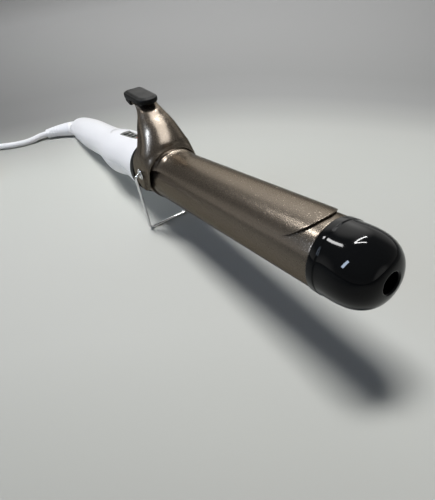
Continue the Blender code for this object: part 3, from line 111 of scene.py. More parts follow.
CORD_TAIL = (
    (-0.1599, -0.1932, 0.0103), (-0.1561, -0.1934, 0.0102), (-0.1522, -0.1934, 0.0099),
    (-0.1484, -0.1932, 0.0096), (-0.1445, -0.1928, 0.0092), (-0.1407, -0.1922, 0.0088),
    (-0.1370, -0.1913, 0.0083), (-0.1332, -0.1903, 0.0079), (-0.1296, -0.1891, 0.0076),
    (-0.1260, -0.1877, 0.0073), (-0.1225, -0.1861, 0.0070), (-0.1190, -0.1844, 0.0069),
    (-0.1157, -0.1824, 0.0069), (-0.1125, -0.1803, 0.0069),
)
COIL_CENTRE = Vector((-0.1700, -0.1460, CORD_RADIUS + 0.0009))
COIL_OUTER_RADIUS = 0.0475
COIL_INNER_RADIUS = 0.0248
COIL_RISE = 0.0065
COIL_DIP = 0.0012
COIL_TURNS_IN = 3.5
COIL_TURNS_UP = 0.5
COIL_TURNS_OUT = 3.25
LOOP_POINTS = 48
GRAIN_FINE = 0.00035
GRAIN_BROAD = 0.012


def curve_through(points, steps):
    """Points on a smooth curve through the given ones, so many to each stretch."""
    padded = [points[0] * 2 - points[1], *points, points[-1] * 2 - points[-2]]
    fine = []
    for a, b, c, d in zip(padded, padded[1:], padded[2:], padded[3:]):
        for step in range(steps):
            t = step / steps
            bend = (2 * a - 5 * b + 4 * c - d) * t**2 + (3 * b - a - 3 * c + d) * t**3
            fine.append((2 * b + (c - a) * t + bend) / 2)
    return [*fine, points[-1]]


def coil_points():
    """Middle line of the coil: in along the lower layer, up in half a turn, out along the upper one."""
    pitch = (COIL_OUTER_RADIUS - COIL_INNER_RADIUS) / COIL_TURNS_IN
    points = []
    for step in range(round((COIL_TURNS_IN + COIL_TURNS_UP + COIL_TURNS_OUT) * LOOP_POINTS) + 1):
        turn = step / LOOP_POINTS
        climb = min(max((turn - COIL_TURNS_IN) / COIL_TURNS_UP, 0.0), 1.0)
        wound = COIL_OUTER_RADIUS - pitch * min(turn, COIL_TURNS_IN)
        unwound = pitch * max(turn - COIL_TURNS_IN - COIL_TURNS_UP, 0.0)
        radius = wound + unwound - COIL_DIP * math.sin(climb * math.pi)
        angle = math.pi + turn * math.tau
        lift = COIL_RISE * (1 - math.cos(climb * math.pi)) / 2
        points.append(COIL_CENTRE + Vector((radius * math.cos(angle), radius * math.sin(angle), lift)))
    return points


def finish(name, colour, roughness, metallic=0.0, **settings):
    """A material with the values of its one shader; its patterns are added with dressed_with."""
    made = bpy.data.materials.new(name)
    made.use_nodes = True
    shader = made.node_tree.nodes["Principled BSDF"]
    shader.inputs["Base Color"].default_value = colour
    shader.inputs["Roughness"].default_value = roughness
    shader.inputs["Metallic"].default_value = metallic
    for socket, value in settings.items():
        shader.inputs[socket.replace("_", " ")].default_value = value
    return made


def joined(tree, kind, sources=(), **settings):
    """A new node with its settings, its inputs linked or set one by one."""
    node = tree.nodes.new(kind)
    for setting, value in settings.items():
        setattr(node, setting, value)
    for place, source in sources:
        if isinstance(source, bpy.types.NodeSocket):
            tree.links.new(source, node.inputs[place])
        else:
            node.inputs[place].default_value = source
    return node


def maths(tree, operation, *sources):
    """The result of one sum on numbers."""
    return joined(tree, "ShaderNodeMath", enumerate(sources), operation=operation).outputs[0]


def vector_maths(tree, operation, *sources):
    """The two results of one sum on places or directions: a vector and a number."""
    return joined(tree, "ShaderNodeVectorMath", enumerate(sources), operation=operation).outputs


def mapped(tree, value, start, end, first, last, **settings):
    """A number spread from one range over another."""
    sources = (("Value", value), ("From Min", start), ("From Max", end), ("To Min", first), ("To Max", last))
    return joined(tree, "ShaderNodeMapRange", sources, **settings).outputs[0]


def scaled(tree, colour, factor):
    """A colour made lighter or darker."""
    return joined(tree, "ShaderNodeVectorMath", ((0, colour), ("Scale", factor)), operation="SCALE").outputs[0]


def noise(tree, place, size, detail, distortion=0.0):
    """Soft random clouds of about the given size."""
    sources = (("Vector", place), ("Scale", maths(tree, "DIVIDE", 1.0, size)), ("Detail", detail),
               ("Distortion", distortion))
    return joined(tree, "ShaderNodeTexNoise", sources).outputs[0]


def pattern(name, *values):
    """A shader group in progress: its tree, the values that it is given, and the place on the piece."""
    tree = bpy.data.node_groups.new(name, "ShaderNodeTree")
    sockets = [(value, "INPUT") for value in ("Colour", *values)]
    sockets += [(result, "OUTPUT") for result in ("Colour", "Roughness", "Height")]
    for socket, way in sockets:
        kind = "NodeSocketColor" if socket == "Colour" else "NodeSocketFloat"
        tree.interface.new_socket(socket, in_out=way, socket_type=kind)
    given = tree.nodes.new("NodeGroupInput").outputs
    return tree, given, joined(tree, "ShaderNodeTexCoord").outputs["Object"]


def completed(tree, colour, roughness, height):
    """The shader group with its three results tied to its end."""
    joined(tree, "NodeGroupOutput", (("Colour", colour), ("Roughness", roughness), ("Height", height)))
    return tree


def moulded_grain():
    """Plastic out of a mould: a fine grain, broad soft clouds of gloss, and a slight change of shade."""
    tree, given, place = pattern("moulded grain", "Shade spread", "Fine size", "Broad size", "Smoothest",
                                 "Roughest")
    fine, broad = (noise(tree, place, given[size], 3.0) for size in ("Fine size", "Broad size"))
    gloss = mapped(tree, broad, 0.35, 0.65, given["Smoothest"], given["Roughest"])
    shade = maths(tree, "MULTIPLY_ADD", maths(tree, "ADD", broad, -0.5), given["Shade spread"], 1.0)
    return completed(tree, scaled(tree, given["Colour"], shade), gloss, fine)


def dressed_with(made, group, values, depth):
    """Adds a pattern to a finish, tied to its colour and roughness, and to its bumps if it has a depth."""
    tree = made.node_tree
    shader = tree.nodes["Principled BSDF"]
    node = tree.nodes.new("ShaderNodeGroup")
    node.node_tree = group
    node.inputs["Colour"].default_value = shader.inputs["Base Color"].default_value
    for name, value in values.items():
        node.inputs[name].default_value = value
    tree.links.new(node.outputs["Colour"], shader.inputs["Base Color"])
    tree.links.new(node.outputs["Roughness"], shader.inputs["Roughness"])
    bump = joined(tree, "ShaderNodeBump", (("Height", node.outputs["Height"]), ("Strength", 1.0),
                                           ("Distance", depth)))
    tree.links.new(bump.outputs["Normal"], shader.inputs["Normal"])
    return made


MOULDED = moulded_grain()


def moulded(name, colour, smoothest, roughest, depth=0.000003, spread=0.05, fine=GRAIN_FINE,
            broad=GRAIN_BROAD, **settings):
    """A moulded plastic with its own gloss, grain and depth."""
    values = {"Shade spread": spread, "Fine size": fine, "Broad size": broad,
              "Smoothest": smoothest, "Roughest": roughest}
    return dressed_with(finish(name, colour, smoothest, **settings), MOULDED, values, depth)


cord_white = moulded("white cord", CORD_WHITE, 0.36, 0.50)
coil = coil_points()
route = [*map(Vector, CORD_LEAD), *coil[1:], *map(Vector, CORD_TAIL)]
cord_curve = bpy.data.curves.new("cord", "CURVE")
cord_curve.dimensions = "3D"
cord_curve.bevel_depth = CORD_RADIUS
cord_curve.bevel_resolution = 6
cord_curve.use_fill_caps = True
cord_line = cord_curve.splines.new("POLY")
cord_points = curve_through(route, 2)
cord_line.points.add(len(cord_points) - 1)
for place, point in zip(cord_line.points, cord_points):
    place.co = (*point, 1.0)
cord_line.use_smooth = True
cord_curve.materials.append(cord_white)
cord = bpy.data.objects.new("free_cord", cord_curve)
bpy.context.scene.collection.objects.link(cord)
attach(cord, "cord")
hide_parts("cord_lead", "cord_coil", "cord_tail")

# The barrel is one straight aluminium tube, 32 mm outside, spray-coated with a warm brown metallic paint
# that has fine bright flakes in it. Its front edge is turned in a little before the tip cap.
BARREL_RADIUS = 0.0160
BARREL_WALL = 0.0010
BARREL_LENGTH = 0.1670
BARREL_EDGE = 0.0005
BARREL_BROWN = (0.154, 0.131, 0.107, 1.0)
FLAKE_SIZE = 0.00018
GAP = 0.0003
EDGE_EASE = 0.0003
ROUND_STEPS = 144
EASED_FROM = math.radians(30)


def eased(outline, easing, steps=3):
    """The same closed outline with each clear corner off the axis rounded."""
    made = []
    for index, corner in enumerate(outline):
        before, corner, after = (Vector(outline[(index + shift) % len(outline)]) for shift in (-1, 0, 1))
        back, ahead = before - corner, after - corner
        too_short = min(back.length, ahead.length) < easing / 4
        if not corner.y or too_short or math.pi - back.angle(ahead) < EASED_FROM:
            made.append(tuple(corner))
            continue
        first = corner + back.normalized() * min(easing, back.length * 0.45)
        last = corner + ahead.normalized() * min(easing, ahead.length * 0.45)
        for step in range(steps + 1):
            t = step / steps
            made.append(tuple(first * (1 - t) ** 2 + corner * 2 * t * (1 - t) + last * t**2))
    return made


def revolved(outline, steps=ROUND_STEPS, start=None, direction=None):
    """A closed outline of (along, radius) points turned about the iron's axis, or about another line."""
    bm = bmesh.new()
    points = [bm.verts.new((along, 0.0, radius)) for along, radius in outline]
    pairs = zip(points, points[1:] + points[:1])
    edges = [bm.edges.new(pair) for pair in pairs if pair[0].co.z + pair[1].co.z > 0]
    bmesh.ops.spin(bm, geom=points + edges, cent=(0, 0, 0), axis=(1, 0, 0), angle=math.tau, steps=steps,
                   use_merge=True)
    if direction is not None:
        turn = Vector(direction).to_track_quat("X", "Z").to_matrix().to_4x4()
        bmesh.ops.transform(bm, matrix=Matrix.Translation(Vector(start)) @ turn, verts=bm.verts)
    return bm


def solid(name, bm, made_of=None, place=LAY, sharp=math.radians(35)):
    """An object from a mesh in progress, laid in its place, with smooth faces and sharp clear edges."""
    bmesh.ops.remove_doubles(bm, verts=bm.verts, dist=1e-7)
    bmesh.ops.recalc_face_normals(bm, faces=bm.faces)
    data = bpy.data.meshes.new(name)
    bm.to_mesh(data)
    bm.free()
    data.transform(place)
    if made_of:
        data.materials.append(made_of)
    data.shade_smooth()
    data.set_sharp_from_angle(angle=sharp)
    made = bpy.data.objects.new(name, data)
    bpy.context.scene.collection.objects.link(made)
    return made


def spent(target):
    """Replaces an object's mesh by the one that its modifiers give."""
    data = bpy.data.meshes.new_from_object(target.evaluated_get(bpy.context.evaluated_depsgraph_get()))
    target.modifiers.clear()
    target.data = data
    data.shade_smooth()
    data.set_sharp_from_angle(angle=math.radians(35))
    return target


def combined(target, tool, operation):
    """Cuts, joins or intersects the target with the tool, and removes the tool."""
    step = target.modifiers.new("step", "BOOLEAN")
    step.operation = operation
    step.object = tool
    spent(target)
    bpy.data.objects.remove(tool)
    return target


def fitted(piece, body, slot, *nodes):
    """The piece rides on a body and stands for the named solids, which are hidden; its slot is not used."""
    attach(piece, body)
    if nodes:
        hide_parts(*nodes)
    return piece


def metal_flakes():
    """Metallic paint: flat flakes under the lacquer, each with its own tilt and brightness."""
    tree, given, place = pattern("metal flakes", "Flake size", "Glitter", "Smoothest", "Roughest")
    scale = maths(tree, "DIVIDE", 1.0, given["Flake size"])
    flake = joined(tree, "ShaderNodeTexVoronoi", (("Vector", place), ("Scale", scale))).outputs
    chance = joined(tree, "ShaderNodeSeparateColor", (("Color", flake["Color"]),)).outputs
    shade = maths(tree, "MULTIPLY_ADD", maths(tree, "POWER", chance[0], 6.0), given["Glitter"], 0.92)
    gloss = mapped(tree, chance[1], 0.0, 1.0, given["Smoothest"], given["Roughest"])
    offset = vector_maths(tree, "SUBTRACT", place, flake["Position"])[0]
    lean = vector_maths(tree, "SUBTRACT", flake["Color"], (0.5, 0.5, 0.5))[0]
    tilt = vector_maths(tree, "DOT_PRODUCT", offset, lean)[1]
    return completed(tree, scaled(tree, given["Colour"], shade), gloss, tilt)


FLAKES = metal_flakes()
flake_paint = {"Flake size": FLAKE_SIZE, "Glitter": 0.45, "Smoothest": 0.20, "Roughest": 0.31}
lacquered = finish("brown metallic paint", BARREL_BROWN, 0.30, 0.95, Coat_Weight=0.08, Coat_Roughness=0.12,
                   Specular_Tint=(0.44, 0.42, 0.39, 1.0))
barrel_paint = dressed_with(lacquered, FLAKES, flake_paint, 0.05)
bore = BARREL_RADIUS - BARREL_WALL
barrel_outline = ((-BARREL_LENGTH, bore), (-BARREL_LENGTH, BARREL_RADIUS), (0.0, BARREL_RADIUS), (0.0, bore))
barrel = solid("heated_barrel", revolved(eased(barrel_outline, BARREL_EDGE)), barrel_paint)
fitted(barrel, "iron", "barrel_metal", "barrel_tube")

# The tip cap is moulded in heat-proof black plastic with a high gloss: a band against the barrel, a shallow
# step, a short straight wall and a full dome, with a deep round hole for the screw that holds it.
CAP_BAND_RADIUS = 0.0165
CAP_BAND_LENGTH = 0.0036
CAP_RADIUS = 0.0162
CAP_STEP = 0.0004
CAP_STRAIGHT = 0.0065
CAP_LENGTH = 0.0256
CAP_DOME_POWER = 2.8
CAP_THICKNESS = 0.0022
CAP_SPIGOT = 0.0070
CAP_HOLE_RADIUS = 0.0043
CAP_HOLE_LIP = 0.0005
CAP_HOLE_DEPTH = 0.0120
CAP_TUBE_WALL = 0.0016
CAP_FLOOR = 0.0022
SCREW_SHANK = 0.0016
DOME_STEPS = 36


def dome(radius, length, last_radius, steps):
    """Points over a dome, from its full radius to a smaller one, evenly round its bend."""
    power = CAP_DOME_POWER
    end = (1 - (last_radius / radius) ** power) ** (1 / power)
    lean = math.atan2(end, last_radius / radius)
    points = []
    for step in range(steps + 1):
        turn = lean * step / steps
        reach = (math.cos(turn) ** power + math.sin(turn) ** power) ** (-1 / power)
        points.append((CAP_STRAIGHT + length * reach * math.sin(turn), radius * reach * math.cos(turn)))
    return points


black_gloss = moulded("black gloss", (0.0020, 0.0024, 0.0030, 1.0), 0.04, 0.08, depth=0.000001, spread=0.2,
                      Specular_IOR_Level=0.17)
outer = dome(CAP_RADIUS, CAP_LENGTH - CAP_STRAIGHT, CAP_HOLE_RADIUS + CAP_HOLE_LIP, DOME_STEPS)
inner_radius = CAP_RADIUS - CAP_THICKNESS
inner = dome(inner_radius, CAP_LENGTH - CAP_STRAIGHT - CAP_THICKNESS, CAP_HOLE_RADIUS + CAP_TUBE_WALL, 8)
mouth = outer[-1][0]
floor = mouth - CAP_HOLE_DEPTH
spigot = bore - GAP
cap_outline = [
    (-CAP_SPIGOT, spigot - CAP_THICKNESS),
    (-CAP_SPIGOT, spigot),
    (GAP, spigot),
    (GAP, CAP_BAND_RADIUS),
    (CAP_BAND_LENGTH, CAP_BAND_RADIUS),
    (CAP_BAND_LENGTH + CAP_STEP, CAP_RADIUS),
    *outer,
    (mouth - CAP_HOLE_LIP, CAP_HOLE_RADIUS),
    (floor, CAP_HOLE_RADIUS),
    (floor, SCREW_SHANK),
    (floor - CAP_FLOOR, SCREW_SHANK),
    (floor - CAP_FLOOR, CAP_HOLE_RADIUS + CAP_TUBE_WALL),
    *reversed(inner),
    (GAP, spigot - CAP_THICKNESS),
]
cap = solid("end_cap", revolved(eased(cap_outline, EDGE_EASE)), black_gloss)
fitted(cap, "iron", "black_gloss", "tip_cap")

# The clip is one blank of sheet steel, 0.8 mm thick, pressed to shape and painted like the barrel: a long
# tongue that hugs the tube, two ears with the pivot holes, and a lever that narrows to a tab for the thumb.
# Each row below is one bend line of the blank; the surface runs smoothly through all of them.
CLIP_SHEET = 0.0008
CLIP_RADIUS = 0.0168
CLIP_HALF_ANGLE = math.radians(53.8)
TONGUE_SETBACK = 0.0027
TONGUE_ROUND = 0.0130
TONGUE_POWER = 1.65
TONGUE_PLAIN = 0.0300
EAR_RADIUS = 0.0118
ROOT_AHEAD = 0.0235
LEVER_REACH = 0.0340
LEVER_RISE = 0.0298
EYELET_RADIUS = 0.0022
EAR_SPAN = Vector((0, 0.022, 0))
CLIP_COLUMNS = 34
# How far the crest has gone back and up, the edge seen from the pivot in ear radii, then the half width and
# the depth of the bend in clip radii.
EAR_ROWS = (
    (0.050, 0.023, 1.80, 0.46, 1.00, 1.03), (0.091, 0.044, 1.70, 0.46, 1.00, 1.06),
    (0.124, 0.040, 1.60, 0.45, 1.00, 1.05), (0.141, 0.044, 1.20, 0.38, 1.01, 1.02),
    (0.149, 0.057, 1.02, 0.23, 1.03, 0.99), (0.150, 0.070, 0.99, -0.08, 1.04, 0.94),
    (0.150, 0.084, 0.89, -0.45, 1.05, 0.90), (0.150, 0.097, 0.69, -0.73, 1.05, 0.87),
    (0.150, 0.111, 0.36, -0.93, 1.05, 0.85), (0.150, 0.124, -0.04, -1.00, 1.05, 0.84),
    (0.150, 0.138, -0.44, -0.90, 1.05, 0.84), (0.150, 0.151, -0.76, -0.65, 1.05, 0.83),
    (0.149, 0.164, -0.96, -0.27, 1.05, 0.83), (0.147, 0.181, -0.99, 0.14, 1.03, 0.83),
    (0.147, 0.201, -0.86, 0.55, 1.00, 0.82),
)
# The same for the lever, with the edge seen from the crest, in clip radii.
LEVER_ROWS = (
    (0.149, 0.235, -1.515, -0.494, 0.950, 0.800), (0.174, 0.319, -1.143, -0.345, 0.875, 0.750),
    (0.218, 0.419, -0.982, -0.226, 0.790, 0.680), (0.282, 0.534, -0.845, -0.131, 0.700, 0.620),
    (0.368, 0.631, -0.679, -0.036, 0.610, 0.545), (0.456, 0.715, -0.524, 0.000, 0.530, 0.480),
    (0.529, 0.795, -0.423, 0.000, 0.470, 0.420), (0.624, 0.866, -0.315, 0.006, 0.430, 0.375),
    (0.703, 0.936, -0.244, 0.000, 0.466, 0.466), (0.785, 0.966, -0.137, 0.006, 0.660, 0.660),
    (0.882, 0.982, -0.060, 0.006, 1.460, 1.460), (1.000, 1.000, 0.000, -0.018, 4.170, 4.170),
)
ROOT = Vector((PIVOT.x + ROOT_AHEAD, 0, CLIP_RADIUS))


def bend_line(crest, edge, width, depth, columns):
    """One row of the sheet over its crest: part of an ellipse each way, run on straight to its edges."""
    drop = edge - crest
    reach = drop.length
    turn = drop.normalized()
    bend = math.acos(max(1 - reach / depth, 0.0))
    arc_length = (width + depth) / 2 * bend
    row = []
    for share in columns:
        run = abs(share) * (arc_length + max(reach - depth, 0.0))
        angle = bend * min(run / arc_length, 1.0)
        place = crest + turn * (depth * (1 - math.cos(angle)) + max(run - arc_length, 0.0))
        row.append(Vector((place.x, math.copysign(width * math.sin(angle), share), place.z)))
    return row


def tongue_rows(columns):
    """The tongue from its rounded front to the root of the lever."""
    edge_height = CLIP_RADIUS * math.cos(CLIP_HALF_ANGLE)
    crest, edge = Vector((0, 0, CLIP_RADIUS)), Vector((0, 0, edge_height))
    plain = bend_line(crest, edge, CLIP_RADIUS, CLIP_RADIUS, columns)
    rows = []
    for step in range(13):
        share = (step / 12) ** 1.5
        row = []
        for point, column in zip(plain, columns):
            bow = (1 - abs(column) ** TONGUE_POWER) ** (1 / TONGUE_POWER)
            front = -TONGUE_SETBACK - TONGUE_ROUND * (1 - bow)
            row.append(Vector((front + (-TONGUE_PLAIN - front) * share, point.y, point.z)))
        rows.append(row)
    for step in range(1, 9):
        along = -TONGUE_PLAIN + (ROOT.x + TONGUE_PLAIN) * step / 8
        rows.append([Vector((along, point.y, point.z)) for point in plain])
    return rows


def lever_rows(columns):
    """The ears and the lever, with more bend lines put in between the given ones."""
    edge_height = CLIP_RADIUS * math.cos(CLIP_HALF_ANGLE)
    given = [(ROOT.x, ROOT.z, ROOT.x, edge_height, CLIP_RADIUS, CLIP_RADIUS)]
    for row_set, carried_by_pivot in ((EAR_ROWS, True), (LEVER_ROWS, False)):
        for back, up, edge_x, edge_z, width, depth in row_set:
            crest = ROOT + Vector((-back * LEVER_REACH, 0, up * LEVER_RISE))
            size = EAR_RADIUS if carried_by_pivot else CLIP_RADIUS
            edge = (PIVOT if carried_by_pivot else crest) + Vector((edge_x, 0, edge_z)) * size
            given.append((crest.x, crest.z, edge.x, edge.z, width * CLIP_RADIUS, depth * CLIP_RADIUS))
    rows = []
    for row in curve_through([Vector(row) for row in given], 4)[1:]:
        crest_x, crest_z, edge_x, edge_z, width, depth = row
        crest, edge = Vector((crest_x, 0, crest_z)), Vector((edge_x, 0, edge_z))
        rows.append(bend_line(crest, edge, width, depth, columns))
    return rows


def sheet(name, rows, thickness, made_of, trim=0.00015):
    """A pressed sheet through rows of points, with its cut edges dulled."""
    bm = bmesh.new()
    grid = [[bm.verts.new(point) for point in row] for row in rows]
    for first, second in zip(grid, grid[1:]):
        for index in range(len(first) - 1):
            bm.faces.new((first[index], first[index + 1], second[index + 1], second[index]))
    made = solid(name, bm, made_of)
    shell = made.modifiers.new("shell", "SOLIDIFY")
    shell.thickness = thickness
    shell.offset = 0.0
    edge = made.modifiers.new("edge", "BEVEL")
    edge.width = trim
    edge.segments = 2
    edge.limit_method = "ANGLE"
    edge.angle_limit = math.radians(60)
    return spent(made)


def rod(name, start, end, radius, made_of=None, steps=48, place=LAY):
    """A plain round rod between two points."""
    direction = Vector(end) - Vector(start)
    outline = ((0.0, 0.0), (0.0, radius), (direction.length, radius), (direction.length, 0.0))
    return solid(name, revolved(outline, steps, start, direction), made_of, place)


def bored(target, start, end, radius, steps=48, place=LAY):
    """Bores a round hole between two points."""
    return combined(target, rod("hole", start, end, radius, None, steps, place), "DIFFERENCE")


steps = [step / CLIP_COLUMNS for step in range(-CLIP_COLUMNS, CLIP_COLUMNS + 1)]
columns = [(step + math.sin(step * math.pi / 2)) / 2 for step in steps]
clip = sheet("spring_clip", tongue_rows(columns) + lever_rows(columns), CLIP_SHEET, barrel_paint)
bored(clip, PIVOT - EAR_SPAN, PIVOT + EAR_SPAN, EYELET_RADIUS + GAP)
fitted(clip, "clip", "clip_metal", "clip")

# The hinge band is a thin steel strip closed round the barrel's rear end and painted like it. A flat boss on
# each side carries a bright hollow rivet, which the clip turns on and the wire stand's ends sit in.
BAND_RADIUS = 0.0168
BAND_SHEET = 0.0005
BAND_FRONT = 0.0080
BAND_BACK = 0.0125
BAND_EASE = 0.0002
BAND_BOSS_RADIUS = 0.0050
BAND_BOSS_PROUD = 0.0001
EYELET_HEAD_RADIUS = 0.0036
EYELET_HEAD = 0.0007
EAR_WIDTH = 1.05
STAND_WIRE_RADIUS = 0.0011
CHROME = (0.66, 0.66, 0.67, 1.0)

inside = BAND_RADIUS - BAND_SHEET
band_outline = [(PIVOT.x + along, radius) for along, radius in (
    (-BAND_BACK, inside), (-BAND_BACK, BAND_RADIUS), (BAND_FRONT, BAND_RADIUS), (BAND_FRONT, inside))]
band = solid("hinge_band", revolved(eased(band_outline, BAND_EASE)), barrel_paint)
boss_reach = Vector((0, BAND_RADIUS + BAND_BOSS_PROUD, 0))
boss = rod("boss", PIVOT - boss_reach, PIVOT + boss_reach, BAND_BOSS_RADIUS)
band_back, band_front = (Vector((PIVOT.x + reach, 0, 0)) for reach in (-0.03, 0.03))
bored(boss, band_back, band_front, inside + BAND_SHEET / 2, 96)
combined(band, boss, "UNION")
bored(band, PIVOT - EAR_SPAN, PIVOT + EAR_SPAN, EYELET_RADIUS + GAP)
fitted(band, "iron", "bracket_metal", "hinge_bracket")


def brushed_lines():
    """Drawn or turned metal: faint fine scratches that dull it here and there."""
    tree, given, place = pattern("drawn metal", "Line size", "Smoothest", "Roughest")
    lines = noise(tree, place, given["Line size"], 4.0, 1.5)
    gloss = mapped(tree, lines, 0.35, 0.7, given["Smoothest"], given["Roughest"])
    shade = mapped(tree, lines, 0.0, 1.0, 0.9, 1.08)
    return completed(tree, scaled(tree, given["Colour"], shade), gloss, lines)


DRAWN = brushed_lines()


def metal(name, colour, smoothest, roughest, line=0.0015, depth=0.000004):
    """A bare metal with its own gloss and faint marks of its making."""
    values = {"Line size": line, "Smoothest": smoothest, "Roughest": roughest}
    return dressed_with(finish(name, colour, smoothest, 1.0), DRAWN, values, depth)


chrome = metal("bright plating", CHROME, 0.08, 0.20)
inner_end = math.sqrt(BARREL_RADIUS**2 - (PIVOT.z - EYELET_RADIUS) ** 2) + GAP
under = CLIP_RADIUS * EAR_WIDTH + CLIP_SHEET / 2 + GAP
eyelet_bore = STAND_WIRE_RADIUS + GAP
eyelet_outline = (
    (inner_end, eyelet_bore), (inner_end, EYELET_RADIUS), (under, EYELET_RADIUS), (under, EYELET_HEAD_RADIUS),
    (under + EYELET_HEAD / 2, EYELET_HEAD_RADIUS), (under + EYELET_HEAD, EYELET_RADIUS + EYELET_HEAD),
    (under + EYELET_HEAD, eyelet_bore),
)
for side, side_name in ((-1, "left"), (1, "right")):
    rivet = revolved(eased(eyelet_outline, EDGE_EASE), 56, PIVOT, (0, side, 0))
    eyelet = solid(f"rivet_{side_name}", rivet, chrome)
    fitted(eyelet, "iron", "wire_chrome", f"pivot_eyelet_{side_name}")

# A cross pin in the lever carries a double torsion spring of hard steel wire. Its two legs press on the band
# and its bridge presses up against the lever's inside, which holds the clip shut on the barrel.
PIN = PIVOT + Vector((0.0070, 0.0, 0.0171))
PIN_RADIUS = 0.0015
PIN_HALF_LENGTH = 0.0136
SPRING_WIRE_RADIUS = 0.00055
SPRING_COIL_RADIUS = 0.0031
SPRING_TURNS = 4.25
SPRING_POINTS = 28
SPRING_OUTER_SIDE = 0.0095
SPRING_INNER_SIDE = 0.0045
SPRING_BRIDGE = Vector((0.0079, 0.0, 0.0062))
SPRING_LEG = 0.0095
SPRING_LEG_DROP = 0.0034


def rounded_path(corners, radii, steps):
    """A route through corner points, with each inner corner rounded by its own radius."""
    corners = [Vector(corner) for corner in corners]
    points = [corners[0]]
    for before, corner, after, radius in zip(corners, corners[1:], corners[2:], radii):
        back, ahead = (before - corner).normalized(), (after - corner).normalized()
        half = back.angle(ahead) / 2
        cut = radius / math.tan(half)
        middle = corner + (back + ahead).normalized() * (radius / math.sin(half))
        first, last = corner + back * cut - middle, corner + ahead * cut - middle
        turns = [first.slerp(last, step / steps).normalized() for step in range(steps + 1)]
        points += [middle + turn * radius for turn in turns]
    return [*points, corners[-1]]


def lofted(rings, endless=False):
    """A body through closed rings of points of equal number, with a cap on each end or closed on itself."""
    bm = bmesh.new()
    made = [[bm.verts.new(point) for point in ring] for ring in rings]
    count = len(made[0])
    for first, second in zip(made, made[1:] + (made[:1] if endless else [])):
        for index in range(count):
            after = (index + 1) % count
            bm.faces.new((first[index], first[after], second[after], second[index]))
    if not endless:
        bm.faces.new(made[0])
        bm.faces.new(made[-1])
    return bm


def swept(points, radii, sides=20):
    """A round bar along points, with its own radius at each."""
    rings, side = [], None
    for index, (point, radius) in enumerate(zip(points, radii)):
        ahead = (points[min(index + 1, len(points) - 1)] - points[max(index - 1, 0)]).normalized()
        side = ahead.orthogonal() if side is None else side - ahead * side.dot(ahead)
        side.normalize()
        up = ahead.cross(side)
        turns = [math.tau * step / sides for step in range(sides)]
        rings.append([point + (side * math.cos(turn) + up * math.sin(turn)) * radius for turn in turns])
    return lofted(rings)


def wire(points, radius, sides=20):
    """A wire of even thickness, with its two ends slightly rounded off."""
    first, last = points[0], points[-1]
    ahead, back = (points[1] - first).normalized(), (points[-2] - last).normalized()
    steps = (0.0, 0.12, 0.4)
    shares = (0.72, 0.92, 1.0)
    start = [first + ahead * radius * step for step in steps]
    end = [last + back * radius * step for step in reversed(steps)]
    path = start + list(points[1:-1]) + end
    radii = [radius * share for share in (*shares, *[1.0] * (len(points) - 2), *reversed(shares))]
    return swept(path, radii, sides)


spring_steel = metal("spring steel", (0.42, 0.42, 0.43, 1.0), 0.25, 0.40)
foot = Vector((PIN.x - SPRING_LEG, -SPRING_OUTER_SIDE, PIN.z - SPRING_COIL_RADIUS - SPRING_LEG_DROP))
half_spring = [foot]
spring_steps = round(SPRING_TURNS * SPRING_POINTS)
for step in range(spring_steps + 1):
    turn = -math.pi / 2 + step / spring_steps * SPRING_TURNS * math.tau
    side = -SPRING_OUTER_SIDE + (SPRING_OUTER_SIDE - SPRING_INNER_SIDE) * step / spring_steps
    around = Vector((math.cos(turn), 0, math.sin(turn))) * SPRING_COIL_RADIUS
    half_spring.append(PIN + around + Vector((0, side, 0)))
bend = PIN + SPRING_BRIDGE - Vector((0, SPRING_INNER_SIDE, 0))
arm = [half_spring[-1].lerp(bend, share) for share in (0.35, 0.7)]
half_bridge = (arm[1], bend, Vector((bend.x, 0, bend.z)))
half_spring += [arm[0], *rounded_path(half_bridge, (SPRING_WIRE_RADIUS * 2,), 6)]
mirrored = [Vector((point.x, -point.y, point.z)) for point in reversed(half_spring[:-1])]
spring = solid("torsion_spring", wire(half_spring + mirrored, SPRING_WIRE_RADIUS, 12), spring_steel)
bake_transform(spring)
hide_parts("clip_spring")
pin_half = Vector((0, PIN_HALF_LENGTH, 0))
pin_outline = ((0.0, 0.0), (0.0, PIN_RADIUS), (PIN_HALF_LENGTH * 2, PIN_RADIUS), (PIN_HALF_LENGTH * 2, 0.0))
pin = solid("cross_pin", revolved(eased(pin_outline, EDGE_EASE), 40, PIN - pin_half, (0, 1, 0)), spring_steel)
fitted(pin, "clip", "steel", "spring_pin")

# The thumb rest is moulded in black heat-proof plastic with a satin top: an oval plate with a soft crown, and
# a heel behind it that reaches down over the lever's tab. A small screw holds it from below.
REST_THICKNESS = 0.0030
REST_HALF_WIDTH = 0.0070
REST_AHEAD = 0.0134
REST_BEHIND = 0.0170
REST_EDGE = 0.0009
REST_CROWN = 0.0007
REST_RISE = 0.0005
REST_TILT = math.radians(8.0)
HEEL_LENGTH = 0.0080
HEEL_DEPTH = 0.0036
HEEL_SLANT = 0.0012
HEEL_EASE = 0.0006
HEEL_SIDE_EASE = 0.0004
SCREW_RADIUS = 0.0013
SCREW_HEAD_RADIUS = 0.0026


def arc(centre, radius, start, end, steps):
    """Points on an arc, from one angle to another."""
    turns = [start + (end - start) * step / steps for step in range(steps + 1)]
    return [(centre[0] + radius * math.cos(turn), centre[1] + radius * math.sin(turn)) for turn in turns]


